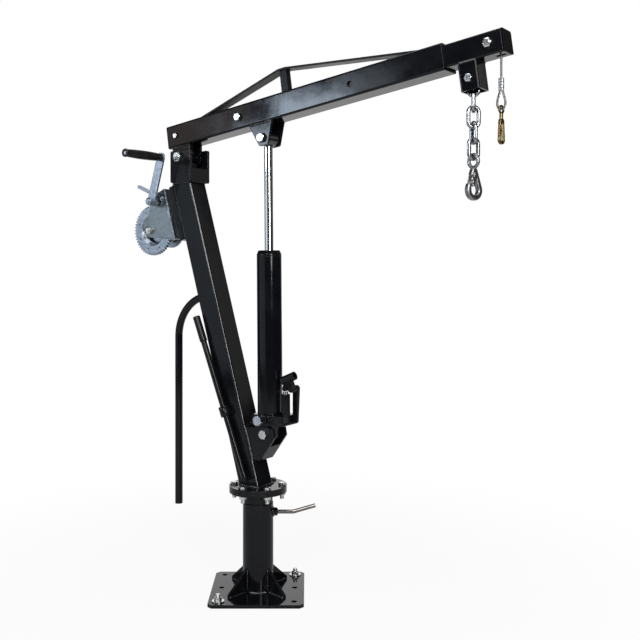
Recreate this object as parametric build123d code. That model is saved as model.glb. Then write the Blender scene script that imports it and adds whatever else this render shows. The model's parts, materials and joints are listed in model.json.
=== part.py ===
from build123d import *

import os
from math import acos, atan2, cos, degrees, hypot, pi, radians, sin, sqrt, tan

# Swivelling pickup truck crane: a post on a bolted plate, a leaning mast, a telescopic boom
# lifted by a hand-pumped ram, a hand winch with its cable, and a load hook on a short chain.
# Everything above the post is drawn in the crane's own plane, with x along the boom, y across it
# (the ram's knob and the crank are on the -y side) and z up, and is then swung about the post.
# Sizes are in millimetres.

# Swing of the upper works about the post, as they stand
swing_angle = -35.0

# Clearances
running_gap = 0.06
loose_gap = 0.3
hole_gap = 0.25
through_cut = 1.0
least_corner = 1.0

# Base plate and post
plate_size = 230.0
plate_thickness = 8.0
plate_chamfer = 10.0
anchor_spacing = 182.0
anchor_hole = 13.0
anchor_stud = 10.0
anchor_stud_height = 18.0
washer_diameter = 30.0
washer_thickness = 2.5
post_diameter = 76.0
post_wall = 5.0
post_height = 215.0
gusset_reach = 97.0
gusset_height = 57.0
gusset_tip = 6.0
gusset_thickness = 6.0
thrust_ring_height = 10.0
thrust_ring_bore = 40.0

# Swivel lock screw, threaded through a nut welded on the post
lock_screw_diameter = 10.0
lock_screw_drop = 25.0
lock_boss_width = 18.0
lock_boss_length = 12.0
lock_screw_straight = 38.0
lock_screw_bent = 57.0
lock_screw_bend = 16.0
lock_screw_bend_radius = 16.0

# Swivel spigot and the bolted pair of flanges
spigot_wall = 5.0
neck_diameter = 73.0
neck_height = 27.0
flange_diameter = 144.0
flange_thickness = 8.0
flange_bolt_circle = 120.0
flange_bolt_count = 6
flange_bolt = 10.0
flange_bolt_spare = 9.0

# Leaning mast
mast_size = 60.0
mast_wall = 4.0
mast_corner = 5.0
mast_lean = 16.4
mast_length = 826.0
mast_foot_offset = -7.5

# Mast head: two cheeks and a low front web that hold the boom's pivot
head_cheek = 8.0
head_web = 6.0
head_corner = 5.0
head_back = 29.0
head_front = 40.0
head_rise = 16.0
head_front_rise = 21.0
head_drop = 67.0
head_web_drop = 29.0
pivot_ahead = 6.5
pivot_above = 37.0
pivot_bolt = 16.0
pivot_washer = 30.0

# Boom
boom_size = 60.0
boom_wall = 4.0
boom_corner = 5.0
boom_length = 813.0
boom_pitch = 8.0
pivot_station = 39.5
pivot_below = 59.5
lug_thickness = 6.0
lug_gap = 5.0
lug_radius = 26.0
lug_flare = 4.0
lug_bush_wall = 5.0
inner_size = 50.0
inner_wall = 3.0
inner_corner = 4.0
inner_start = 214.0
inner_reach = 133.0
plug_thickness = 3.0
plug_depth = 6.0
plug_wall = 2.0
lock_station = 244.0
extension_stroke = 332.0
lock_hole = 13.0
lock_bolt = 12.0

# Ears under the boom and the foot bracket on the mast, which hold the ram
ear_station = 307.5
ear_pin_below = 66.0
ear_thickness = 6.0
ear_outside = 54.0
ear_back = 35.0
ear_front = 36.0
ear_foot = 25.0
ear_foot_shift = 3.0
ear_depth = 20.0
ear_corner = 7.0
ear_bolt = 14.0
foot_pin_forward = 81.5
foot_pin_up = 114.5
foot_plate = 6.0
foot_outside = 52.0
foot_bolt = 14.0
foot_root_rise = 27.0
foot_root_drop = 55.0
foot_shoulder = (12.0, 17.0)
foot_nose = (32.0, 6.0)
foot_chin = (30.0, -14.0)
foot_tail = (-30.0, -60.0)
foot_web_share = 0.6

# Truss over the boom
king_size = 20.0
king_wall = 2.0
king_station = 380.0
king_height = 57.0
strap_width = 30.0
strap_thickness = 5.0
strap_rear_station = 117.0
strap_front_back = 71.0

# Ram
ram_diameter = 62.0
ram_wall = 4.0
ram_bottom = 48.0
ram_top = 437.0
gland_height = 14.0
gland_top_diameter = 54.0
gland_spigot = 10.0
rod_diameter = 22.0
piston_height = 18.0
piston_above_bottom = 250.0
rod_eye_radius = 19.0
rod_eye_width = 34.0
rod_eye_bore = 15.0
ram_lug_radius = 20.0
ram_base_low = 25.0
ram_base_flange = 5.0
ram_base_back = 36.0
ram_base_front = 58.0
ram_base_width = 64.0
ram_flange_corner = 5.0
ram_block_corner = 8.0
ram_flange_lip = 3.0

# Hand pump on the ram's base
pump_forward = 48.0
pump_diameter = 22.0
pump_height = 52.0
plunger_diameter = 14.0
plunger_rise = 6.0
plunger_depth = 30.0
lever_pin_forward = 68.0
lever_pin = 8.0
lever_pin_head = 13.0
lever_pin_head_height = 3.0
lever_nose = 6.0
lever_width = 12.0
lever_boss = 8.0
link_thickness = 6.0
link_width = 18.0
link_side = 14.0
link_foot = 14.4
socket_diameter = 21.0
socket_bore = 15.6
socket_length = 40.0
socket_tilt = 23.0
socket_back = 11.0
socket_up = 26.0
valve_forward = 4.0
valve_stem = 10.0
valve_seat_gap = 2.0
valve_knob = 24.0
valve_length = 24.0
valve_up = 38.0
valve_flutes = 12
valve_flute = 3.0

# Stored pump handle on the mast's side
handle_rod = 15.0
handle_grip = 19.0
handle_grip_length = 68.0
handle_length = 425.0
handle_grip_round = 2.0
handle_lean = 22.0
handle_low = (-10.5, 287.0)
handle_side = -40.5
clip_station = 172.0
clip_length = 18.0
clip_wall = 2.5
rest_size = 14.0

# Curved handle for swinging the crane
swing_tube = 20.0
swing_wall = 2.5
swing_root_height = 732.0
swing_root_length = 14.0
swing_bend = 110.0
swing_end_height = 178.0
swing_collar = 27.0
swing_collar_length = 8.0

# Hand winch, placed along the mast and behind it
winch_mount_depth = 20.0
winch_mount_wall = 6.0
winch_mount_width = 50.0
winch_mount_margin = 5.0
winch_low = 48.0
winch_high = 90.0
winch_plate = 4.0
winch_width = 90.0
winch_axle_drop = 122.0
winch_axle_back = 127.0
winch_axle = 12.0
winch_nose = 20.0
winch_shoulder = 22.0
winch_bolt = 8.0
winch_bolt_across = 20.0
winch_bolt_low = 22.0
winch_bolt_high = 112.0
gear_module = 2.6
gear_teeth = 50
pinion_teeth = 10
pressure_angle = 25.0
tooth_addendum = 0.8
tooth_dedendum = 1.15
tooth_backlash = 0.3
pinion_bearing = 55.6
gear_width = 10.0
gear_inset = 3.0
gear_dish_diameter = 88.0
gear_dish_wall = 2.5
gear_dish_depth = 16.0
gear_hole = 4.5
gear_hole_circle = 102.0
gear_hole_count = 8
drum_core = 54.0
drum_wall = 4.0
drum_flange = 92.0
drum_flange_thickness = 3.0
drum_side_gap = 4.0
shaft_diameter = 12.0
pinion_width = 12.0
ratchet_diameter = 24.0
ratchet_root = 18.0
ratchet_teeth = 12
ratchet_width = 6.0
ratchet_offset = 5.0
pawl_pivot = (26.0, 8.0)
pawl_tip = (-58.0, 42.0)
pawl_pin = 8.0
pawl_pin_end = 3.0
pawl_width = 9.0
pawl_boss = 13.0
crank_length = 119.0
crank_angle = 73.3
crank_bar_width = 25.0
crank_bar_thickness = 5.0
crank_offset = 19.0
grip_pin = 9.0
grip_pin_head = 17.0
grip_pin_head_height = 4.0
grip_length = 120.0
grip_waist = 19.0
grip_swell = 23.0

# Cable, its sheaves and its end
cable_diameter = 5.0
winding_turns = 7
winding_pitch = 5.6
winding_seat = 0.1
winding_side_gap = 0.5
sheave_pitch_radius = 18.5
sheave_rim = 21.0
sheave_width = 12.0
sheave_lip = 1.0
spacer_wall = 3.5
rear_sheave_station = 30.0
rear_axle = 8.0
tip_sheave_back = 30.0
tip_axle = 12.0
cable_split_station = 300.0
cable_slot = 12.0
tip_slot_length = 22.0
exit_inside_wall = 1.5
cable_end_gap = 1.6
cable_drop = 49.0
ferrule_length = 27.0
ferrule_width = 12.0
ferrule_depth = 8.0
ferrule_chamfer = 1.0
loop_radius = 9.0
loop_drop = 28.0

# Chain box, chain and load hook
chain_box_back = 83.0
chain_box_length = 44.0
chain_box_drop = 61.0
chain_box_wall = 3.0
chain_bolt = 10.0
chain_bolt_below = 60.5
link_count = 5
link_wire = 9.0
link_inner_length = 34.0
link_outer_width = 31.0
link_twist = 12.0
chain_twist = 56.0
hook_yaw = 70.0
hook_eye_turn = 90.0
hook_eye_hole = 19.0
hook_eye_bar = 8.0
hook_thickness = 13.0
hook_drop = 84.0
hook_bowl = 10.0
hook_section = 12.0
hook_neck_radius = 8.0
hook_throat_rise = 22.0
hook_throat_shift = 4.0
hook_throat_top = 7.0
hook_point_rise = 14.0
hook_point_bevel = 6.0
hook_point_lap = 2.0
hook_mouth_lap = 1.0
hook_corner = 2.0
hook_round = 4.0
latch_sheet = 2.0
latch_width = 5.0
latch_pin = 4.0
latch_hinge_forward = 1.0
latch_hinge_drop = 6.5
latch_knee = 3.1
latch_knee_back = 2.0
latch_knee_drop = 2.0
latch_end = 2.0
latch_end_drop = 5.0
snap_yaw = 80.0
snap_eye_hole = 10.0
snap_eye_bar = 5.0
snap_drop = 73.0
snap_neck = 8.0
snap_thickness = 7.0
snap_half_width = 10.0
snap_shoulder = 7.5
snap_section = 5.2
snap_round = 1.8
snap_bowl_shift = 0.4
snap_bowl_top = 3.1
snap_bowl_top_drop = 4.0
snap_neck_lap = 2.0
gate_width = 4.4
gate_tongue = 3.0
gate_pin = 2.4
gate_hinge_drop = 5.0
gate_foot_in = 3.1
gate_foot_rise = 9.0
gate_knee_drop = 6.5
gate_knee_back = 0.5
gate_inset = 0.5

# Hexagon fasteners: the flats, the head and the nut all grow evenly with the thread
hex_flats_start = 2.0
hex_flats_growth = 1.375
hex_head_start = 0.6
hex_head_growth = 0.5875
hex_nut_less = 1.2
thread_end = 3.0
head_turn_down = 0.18
head_turn_in = 0.35


# Heights and points that follow from the sizes above
post_top = plate_thickness + post_height
lower_flange_low = post_top + neck_height
flange_joint = lower_flange_low + flange_thickness
flange_top = flange_joint + flange_thickness
spigot_radius = post_diameter / 2 - post_wall - running_gap
lock_screw_height = post_top - lock_screw_drop

winch_axle_up = mast_length - winch_axle_drop
inner_end = boom_length + inner_reach
tip_sheave_station = inner_end - tip_sheave_back
chain_box_station = inner_end - chain_box_back
strap_front_station = boom_length - strap_front_back

mast_frame = Pos(mast_foot_offset, 0, flange_top) * Rot(0, -mast_lean, 0)
mast_top = mast_frame * Pos(0, 0, mast_length)
pivot_x = mast_top.position.X + pivot_ahead
pivot_z = mast_top.position.Z + pivot_above
boom_frame = Pos(pivot_x, 0, pivot_z) * Rot(0, -boom_pitch, 0) * Pos(-pivot_station, 0, pivot_below)


def flat(location):
    """The x and z of a place in the crane's plane."""
    return location.position.X, location.position.Z


def boom_point(station, height):
    return flat(boom_frame * Pos(station, 0, height))


def mast_point(forward, up):
    return flat(mast_frame * Pos(forward, 0, up))


ram_head = boom_point(ear_station, -ear_pin_below)
ram_foot = mast_point(foot_pin_forward, foot_pin_up)
ram_length = hypot(ram_head[0] - ram_foot[0], ram_head[1] - ram_foot[1])
ram_tilt = degrees(atan2(ram_head[0] - ram_foot[0], ram_head[1] - ram_foot[1]))
ram_frame = Pos(ram_foot[0], 0, ram_foot[1]) * Rot(0, ram_tilt, 0)

gear_radius = gear_module * gear_teeth / 2
pinion_radius = gear_module * pinion_teeth / 2
winch_centre = mast_point(-winch_axle_back, winch_axle_up)
pinion_distance = gear_radius + pinion_radius
pinion_back = winch_axle_back - pinion_distance * cos(radians(pinion_bearing))
pinion_up = winch_axle_up + pinion_distance * sin(radians(pinion_bearing))
pinion_centre = mast_point(-pinion_back, pinion_up)
plate_near = -winch_width / 2
gear_near = plate_near + winch_plate + gear_inset
web_far = gear_near + gear_width + gear_dish_depth
drum_far = winch_width / 2 - winch_plate - drum_side_gap - drum_flange_thickness
winding_radius = drum_core / 2 + cable_diameter / 2 + winding_seat
crank_near = plate_near - crank_offset
crank_tip = (
    pinion_centre[0] + crank_length * cos(radians(crank_angle)),
    pinion_centre[1] + crank_length * sin(radians(crank_angle)),
)
pawl_centre = (pinion_centre[0] + pawl_pivot[0], pinion_centre[1] + pawl_pivot[1])

# The cable leaves the drum on the mast's side and crosses to the back of the rear sheave
rear_sheave = boom_point(rear_sheave_station, 0)
tip_sheave = boom_point(tip_sheave_station, 0)
rise_span = (rear_sheave[0] - winch_centre[0], rear_sheave[1] - winch_centre[1])
rise_reach = hypot(*rise_span)
rise_side = atan2(rise_span[1], rise_span[0]) - acos((winding_radius + sheave_pitch_radius) / rise_reach)
rise_low = (
    winch_centre[0] + winding_radius * cos(rise_side),
    winch_centre[1] + winding_radius * sin(rise_side),
)
rise_high = (
    rear_sheave[0] - sheave_pitch_radius * cos(rise_side),
    rear_sheave[1] - sheave_pitch_radius * sin(rise_side),
)
winding_far = drum_far - cable_diameter / 2 - winding_side_gap
winding_near = winding_far - winding_turns * winding_pitch

# The cable hangs plumb from the tip sheave
cable_exit_x = tip_sheave[0] + sheave_pitch_radius
tip_floor = -inner_size / 2 + exit_inside_wall
exit_station = (tip_sheave_station + sheave_pitch_radius * cos(radians(boom_pitch))
                + (tip_floor + sheave_pitch_radius * sin(radians(boom_pitch))) * tan(radians(boom_pitch)))
cable_exit_z = boom_point(exit_station, tip_floor)[1]
ferrule_top = cable_exit_z - cable_drop
ferrule_low = ferrule_top - ferrule_length
loop_bottom = ferrule_low - loop_drop - loop_radius

# Links hang one in another, the first on the bolt in the chain box
chain_top = boom_point(chain_box_station, -chain_bolt_below)
link_bend = (link_outer_width - link_wire) / 2
first_link_low = chain_top[1] + chain_bolt / 2 + loose_gap - link_inner_length - link_wire / 2
link_step = link_inner_length - loose_gap
link_lows = [first_link_low - number * link_step for number in range(link_count)]
hook_eye = link_lows[-1] + link_wire / 2 + loose_gap - hook_eye_hole / 2
snap_eye = loop_bottom + cable_diameter / 2 + loose_gap - snap_eye_hole / 2

handle_up = (-sin(radians(handle_lean)), cos(radians(handle_lean)))
handle_frame = Pos(handle_low[0], handle_side, handle_low[1]) * Rot(0, -handle_lean, 0)

swing = Rot(0, 0, swing_angle)


# Small makers of shapes
def slab(outline, low, high):
    """An outline drawn in x and z, made solid from y = low to y = high."""
    upright = Plane((0, high, 0), x_dir=(1, 0, 0), z_dir=(0, -1, 0))
    return extrude(upright * outline, high - low, dir=(0, -1, 0))


def rod_across(radius, low, high, x=0.0, z=0.0):
    """A round bar along y."""
    return Pos(x, (low + high) / 2, z) * Rot(90, 0, 0) * Cylinder(radius, high - low)


def rod_up(radius, low, high, x=0.0, y=0.0):
    """A round bar along z."""
    return Pos(x, y, (low + high) / 2) * Cylinder(radius, high - low)


def box_between(x, y, z):
    """A box from three pairs of limits."""
    size = [high - low for low, high in (x, y, z)]
    middle = [(high + low) / 2 for low, high in (x, y, z)]
    return Pos(*middle) * Box(*size)


def square_tube(size, wall, corner, low, high, depth=None):
    """A rectangular tube along x: size across y, depth across z."""
    depth = depth or size
    outside = RectangleRounded(size, depth, corner)
    bore = RectangleRounded(size - 2 * wall, depth - 2 * wall, max(corner - wall, least_corner))
    return Pos(low, 0, 0) * extrude(Plane.YZ * (outside - bore), high - low)


def hexagon(across, height):
    """A hexagonal head or nut along z, its upper corners turned off."""
    corner = across / sqrt(3)
    turned = chamfer(Cylinder(corner, height).edges().filter_by(GeomType.CIRCLE).sort_by(Axis.Z)[-1],
                     head_turn_down * height, head_turn_in * height)
    blank = extrude(RegularPolygon(corner, 6), height)
    return Pos(0, 0, height / 2) * (Pos(0, 0, -height / 2) * blank & turned)


def hexagon_sizes(size):
    """Width across flats, head height and nut height for a thread."""
    across = hex_flats_start + hex_flats_growth * size
    return across, hex_head_start + hex_head_growth * size, size - hex_nut_less


def bolt(size, grip, nut=True, spare=thread_end):
    """A bolt along z: head under z = 0, and a nut at the end of its grip with some thread to spare."""
    across, head, nut_height = hexagon_sizes(size)
    reach = grip + nut_height + spare if nut else grip
    pieces = [Rot(180, 0, 0) * hexagon(across, head) + rod_up(size / 2, 0, reach)]
    if nut:
        ring = hexagon(across, nut_height) - Cylinder(size / 2 + running_gap, 4 * nut_height)
        pieces.append(Pos(0, 0, grip) * ring)
    return pieces


def bolt_across(size, low, high, x, z, head_near=True, nut=True):
    """A bolt along y through what lies between y = low and y = high."""
    if head_near:
        place = Pos(x, low, z) * Rot(-90, 0, 0)
    else:
        place = Pos(x, high, z) * Rot(90, 0, 0)
    return [place * piece for piece in bolt(size, high - low, nut)]


def ring_across(outer, inner, low, high, x, z):
    """A ring along y."""
    return rod_across(outer, low, high, x, z) - rod_across(inner, low, high, x, z)


def spacer(axle, low, high, x, z):
    """A tube on an axle that keeps a wheel in its place."""
    bore = axle / 2 + running_gap
    return ring_across(bore + spacer_wall, bore, low, high, x, z)


def tube_along(path, diameter, bore=0.0):
    """A round bar or tube carried along a path."""
    start = Plane(origin=path @ 0, z_dir=path % 0)
    section = Circle(diameter / 2)
    if bore:
        section -= Circle(bore / 2)
    return sweep(start * section, path=path)


def flange_bolt_places():
    return PolarLocations(flange_bolt_circle / 2, flange_bolt_count, 180 / flange_bolt_count)


# Base plate, post and what is fixed to them
def base_plate():
    outline = chamfer(Rectangle(plate_size, plate_size).vertices(), plate_chamfer)
    for place in GridLocations(anchor_spacing, anchor_spacing / 2, 2, 3):
        outline -= place * Circle(anchor_hole / 2)
    return extrude(outline, plate_thickness)


def post_tube():
    """The post, with the nut for the lock screw welded on its side."""
    radius = post_diameter / 2
    across = Pos(0, 0, lock_screw_height) * Rot(0, 90, 0)
    sunk = post_wall / 2
    boss = across * Pos(0, 0, radius - sunk) * hexagon(lock_boss_width, lock_boss_length + sunk)
    bore = lock_screw_diameter / 2 + running_gap
    screw_hole = across * Pos(0, 0, radius) * Cylinder(bore, 4 * lock_boss_length)
    solid = rod_up(radius, plate_thickness, post_top) + boss
    return solid - rod_up(radius - post_wall, plate_thickness, post_top) - screw_hole


def post_gussets():
    """Four fins on the diagonals between the post and the plate."""
    foot = plate_thickness
    inside = post_diameter / 2 - post_wall / 2
    outline = Polygon(
        (inside, foot),
        (gusset_reach, foot),
        (gusset_reach, foot + gusset_tip),
        (post_diameter / 2, foot + gusset_height),
        (inside, foot + gusset_height),
        align=None,
    )
    fin = slab(outline, -gusset_thickness / 2, gusset_thickness / 2)
    fin -= rod_up(post_diameter / 2, 0, foot + 2 * gusset_height)
    return [Rot(0, 0, 45 + 90 * number) * fin for number in range(4)]


def thrust_ring():
    outer = post_diameter / 2 - post_wall - loose_gap
    high = plate_thickness + thrust_ring_height
    return rod_up(outer, plate_thickness, high) - rod_up(thrust_ring_bore / 2, plate_thickness, high)


def anchor_bolts():
    """Two of the plate's six holes hold a stud with its washer and nut."""
    across, _, nut_height = hexagon_sizes(anchor_stud)
    washer = extrude(Circle(washer_diameter / 2) - Circle(anchor_stud / 2 + hole_gap), washer_thickness)
    nut = hexagon(across, nut_height) - Cylinder(anchor_stud / 2 + running_gap, 4 * nut_height)
    stud = rod_up(anchor_stud / 2, loose_gap, plate_thickness + anchor_stud_height)
    pieces = []
    for side in (-1, 1):
        place = Pos(side * anchor_spacing / 2, side * anchor_spacing / 2, 0)
        pieces.append(place * stud)
        pieces.append(place * Pos(0, 0, plate_thickness) * washer)
        pieces.append(place * Pos(0, 0, plate_thickness + washer_thickness) * nut)
    return pieces


def lock_screw():
    """A bent bar whose threaded end presses on the spigot."""
    inner = spigot_radius + loose_gap
    bend = inner + post_wall + lock_boss_length + lock_screw_straight
    rise = radians(lock_screw_bend)
    tip = (bend + lock_screw_bent * cos(rise), lock_screw_bent * sin(rise))
    path = Plane.XZ * FilletPolyline((inner, 0), (bend, 0), tip, radius=lock_screw_bend_radius)
    return Pos(0, 0, lock_screw_height) * tube_along(path, lock_screw_diameter)


# Swivel and mast
def swivel_spigot():
    """The spigot that turns in the post, its neck and the lower flange, welded together."""
    foot = plate_thickness + thrust_ring_height + loose_gap
    outline = Polygon(
        (spigot_radius - spigot_wall, foot),
        (spigot_radius, foot),
        (spigot_radius, post_top + loose_gap),
        (neck_diameter / 2, post_top + loose_gap),
        (neck_diameter / 2, lower_flange_low),
        (flange_diameter / 2, lower_flange_low),
        (flange_diameter / 2, flange_joint),
        (spigot_radius - spigot_wall, flange_joint),
        align=None,
    )
    solid = revolve(Plane.XZ * outline, Axis.Z)
    for place in flange_bolt_places():
        solid -= place * rod_up(flange_bolt / 2 + hole_gap, lower_flange_low, flange_joint)
    return solid


def mast_flange():
    outline = Circle(flange_diameter / 2)
    for place in flange_bolt_places():
        outline -= place * Circle(flange_bolt / 2 + hole_gap)
    return Pos(0, 0, flange_joint) * extrude(outline, flange_thickness)


def flange_bolts():
    pieces = []
    for place in flange_bolt_places():
        for piece in bolt(flange_bolt, 2 * flange_thickness, spare=flange_bolt_spare):
            pieces.append(place * Pos(0, 0, flange_top) * Rot(180, 0, 0) * piece)
    return pieces


def mast_tube():
    """A square tube, cut level where it stands on its flange."""
    spare = mast_size
    tube = mast_frame * Rot(0, -90, 0) * square_tube(mast_size, mast_wall, mast_corner, -spare, mast_length)
    below = box_between((-2 * spare, 2 * spare), (-spare, spare), (flange_top - 3 * spare, flange_top))
    return tube - below


def mast_head():
    half = mast_size / 2
    low = pivot_z - head_drop
    back, front = pivot_x - head_back, pivot_x + head_front
    cheek = Polygon(
        (back, low),
        (front, low),
        (front, pivot_z + head_front_rise),
        (back, pivot_z + head_rise),
        align=None,
    )
    cheek = fillet(cheek.vertices(), head_corner)
    cheek -= Pos(pivot_x, pivot_z) * Circle(pivot_bolt / 2 + hole_gap)
    web = box_between((front - head_web, front), (-half, half), (low, pivot_z - head_web_drop))
    return slab(cheek, -half - head_cheek, -half) + slab(cheek, half, half + head_cheek) + web


def lug_outside():
    return mast_size / 2 - lug_gap


def pivot_bolts():
    """The boom's pivot bolt with its washers, and the bolt at the ram's foot."""
    half = mast_size / 2
    pieces = bolt_across(pivot_bolt, -half - head_cheek, half + head_cheek, pivot_x, pivot_z)
    inside = lug_outside() + loose_gap
    bore = pivot_bolt / 2 + running_gap
    for low, high in ((-half, -inside), (inside, half)):
        pieces.append(ring_across(pivot_washer / 2, bore, low, high, pivot_x, pivot_z))
    pieces += bolt_across(foot_bolt, -foot_outside / 2, foot_outside / 2, *ram_foot)
    return pieces


def ram_foot_bracket():
    """Two gusset plates on the front of the mast, and a web that joins their lower edges."""
    face = mast_size / 2
    x, z = foot_pin_forward, foot_pin_up
    tail = Vector(x + foot_tail[0], z + foot_tail[1])
    chin = Vector(x + foot_chin[0], z + foot_chin[1])
    web_end = tail + (chin - tail) * foot_web_share
    inward = (chin - tail).normalized().rotate(Axis.Z, 90) * foot_plate
    web = Polygon(tail, web_end, web_end + inward, tail + inward, align=None)
    outline = Polygon(
        (face, z + foot_root_rise),
        (x + foot_shoulder[0], z + foot_shoulder[1]),
        (x + foot_nose[0], z + foot_nose[1]),
        chin,
        tail,
        (face, z - foot_root_drop),
        align=None,
    )
    outline -= Pos(x, z) * Circle(foot_bolt / 2 + running_gap)
    inside = foot_outside / 2 - foot_plate
    return [
        mast_frame * slab(outline, -foot_outside / 2, -inside),
        mast_frame * slab(web, -inside, inside),
        mast_frame * slab(outline, inside, foot_outside / 2),
    ]


def swing_handle():
    """A bent tube on the back of the mast, with the collar that it is welded into."""
    back = -mast_size / 2
    up = (swing_root_height - flange_top - back * sin(radians(mast_lean))) / cos(radians(mast_lean))
    start = mast_point(back, up)
    rearward = (-cos(radians(mast_lean)), -sin(radians(mast_lean)))
    root_end = (start[0] + swing_root_length * rearward[0], start[1] + swing_root_length * rearward[1])
    straight = Line(start, root_end)
    bend = JernArc(straight @ 1, rearward, swing_bend, 90 - mast_lean)
    run = Line(bend @ 1, ((bend @ 1).X, swing_end_height))
    path = Plane.XZ * (straight + bend + run)
    tube = tube_along(path, swing_tube, swing_tube - 2 * swing_wall)
    collar_path = Plane.XZ * Line(start, straight @ (swing_collar_length / swing_root_length))
    return tube + tube_along(collar_path, swing_collar, swing_tube)


def handle_clip():
    """A ring that holds the pump handle, and the step that its end stands on."""
    reach = mast_size / 2 + handle_side
    bore = handle_rod / 2 + running_gap
    outer = bore + clip_wall
    low, high = clip_station - clip_length / 2, clip_station + clip_length / 2
    body = rod_up(outer, low, high) + box_between((-outer, outer), (0, -reach), (low, high))
    ring = handle_frame * (body - rod_up(bore, low - through_cut, high + through_cut))
    half = rest_size / 2
    step = box_between((-half, half), (-half, -reach), (-half, -loose_gap))
    return [ring, handle_frame * step]


def pump_handle():
    grip_low = handle_length - handle_grip_length
    grip = fillet(rod_up(handle_grip / 2, grip_low, handle_length).edges().filter_by(GeomType.CIRCLE),
                  handle_grip_round)
    return handle_frame * (rod_up(handle_rod / 2, 0, grip_low + handle_grip_length / 2) + grip)


# Boom
def boom_tube():
    half = boom_size / 2
    tube = square_tube(boom_size, boom_wall, boom_corner, 0, boom_length)
    tube -= rod_across(rear_axle / 2 + hole_gap, -boom_size, boom_size, rear_sheave_station, 0)
    for station in (lock_station, lock_station + extension_stroke):
        tube -= rod_across(lock_hole / 2, -boom_size, boom_size, station, 0)
    slot_end = rear_sheave_station - sheave_pitch_radius + cable_slot
    slot = box_between((-through_cut, slot_end), (-cable_slot / 2, cable_slot / 2),
                       (-half - through_cut, -half + 2 * boom_wall))
    return boom_frame * (tube - slot)


def boom_lugs():
    """Two plates under the boom, joined by the bush that turns on the pivot bolt."""
    x, z = pivot_station, -pivot_below
    top = -boom_size / 2
    outline = make_hull([
        *(Pos(x, z) * Circle(lug_radius)).edges(),
        *Polyline((x - lug_radius - lug_flare, top), (x + lug_radius + lug_flare, top)).edges(),
    ])
    outside = lug_outside()
    inside = outside - lug_thickness
    solid = slab(outline, -outside, -inside) + slab(outline, inside, outside)
    solid += rod_across(pivot_bolt / 2 + lug_bush_wall, -outside, outside, x, z)
    return boom_frame * (solid - rod_across(pivot_bolt / 2 + running_gap, -boom_size, boom_size, x, z))


def ram_ears():
    """Two tapered plates under the boom that take the ram's upper pin."""
    top = -boom_size / 2
    x, z = ear_station, -ear_pin_below
    foot = x + ear_foot_shift
    corners = Polygon(
        (x - ear_back, top),
        (foot - ear_foot / 2, z - ear_depth),
        (foot + ear_foot / 2, z - ear_depth),
        (x + ear_front, top),
        align=None,
    )
    outline = fillet(corners.vertices().sort_by(Axis.Y)[:2], ear_corner)
    outline -= Pos(x, z) * Circle(ear_bolt / 2 + hole_gap)
    inside = ear_outside / 2 - ear_thickness
    return [
        boom_frame * slab(outline, -ear_outside / 2, -inside),
        boom_frame * slab(outline, inside, ear_outside / 2),
    ]


def boom_truss():
    """A king post with a flat strap down to the boom on each side of it."""
    top = boom_size / 2
    crown = top + king_height
    half = king_size / 2
    post = Pos(king_station, 0, 0) * Rot(0, -90, 0) * square_tube(king_size, king_wall, king_wall, top, crown)
    pieces = [post]
    for side, foot in ((-1, strap_rear_station), (1, strap_front_station)):
        shoulder = king_station + side * half
        slope = atan2(king_height, abs(shoulder - foot))
        outline = Polygon(
            (king_station, crown),
            (shoulder, crown),
            (foot, top),
            (foot + side * strap_thickness / sin(slope), top),
            (shoulder + side * strap_thickness * tan(slope / 2), crown + strap_thickness),
            (king_station, crown + strap_thickness),
            align=None,
        )
        pieces.append(slab(outline, -strap_width / 2, strap_width / 2))
    return [boom_frame * piece for piece in pieces]


def boom_bolts():
    """The rear sheave's axle and spacers, the boom's lock bolt and the bolts in the ram's ears."""
    half = boom_size / 2
    pieces = bolt_across(rear_axle, -half, half, rear_sheave_station, 0)
    spacer_low = sheave_width / 2 + loose_gap
    for low, high in ((-half + boom_wall, -spacer_low), (spacer_low, half - boom_wall)):
        pieces.append(spacer(rear_axle, low, high, rear_sheave_station, 0))
    pieces += bolt_across(lock_bolt, -half, -half + boom_wall, lock_station, 0, nut=False)
    ear_in, ear_out = ear_outside / 2 - ear_thickness, ear_outside / 2
    pieces += bolt_across(ear_bolt, -ear_out, -ear_in, ear_station, -ear_pin_below, nut=False)
    pieces += bolt_across(ear_bolt, ear_in, ear_out, ear_station, -ear_pin_below, head_near=False, nut=False)
    return [boom_frame * piece for piece in pieces]


def sheave(bore, station):
    """A grooved wheel for the cable."""
    half = sheave_width / 2
    floor = sheave_pitch_radius
    outline = Rectangle(sheave_rim - bore / 2, sheave_width, align=(Align.MIN, Align.CENTER))
    outline = Pos(bore / 2, 0) * outline
    mouth = cable_diameter / 2 + loose_gap
    outline -= Pos(floor, 0) * Circle(mouth)
    outside = sheave_rim + through_cut
    outline -= Polygon(
        (floor, -mouth),
        (outside, sheave_lip - half),
        (outside, half - sheave_lip),
        (floor, mouth),
        align=None,
    )
    wheel = revolve(Plane.XY * outline, Axis.Y)
    return boom_frame * Pos(station, 0, 0) * wheel


def boom_cable():
    """The cable from the back of the rear sheave, over it and forward inside the boom."""
    start = degrees(rise_side) + 180 - boom_pitch
    over = CenterArc((rear_sheave_station, 0), sheave_pitch_radius, start, 90 - start)
    run = Line(over @ 1, (cable_split_station, sheave_pitch_radius))
    return boom_frame * tube_along(Plane.XZ * (over + run), cable_diameter)


def cable_rise():
    """The cable from the drum up to the rear sheave."""
    low = (rise_low[0], winding_near, rise_low[1])
    high = (rise_high[0], 0, rise_high[1])
    line = Line(low, high)
    begin = (cable_diameter + loose_gap) / line.length
    return tube_along(Line(line @ begin, line @ (1 - loose_gap / line.length)), cable_diameter)


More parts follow.
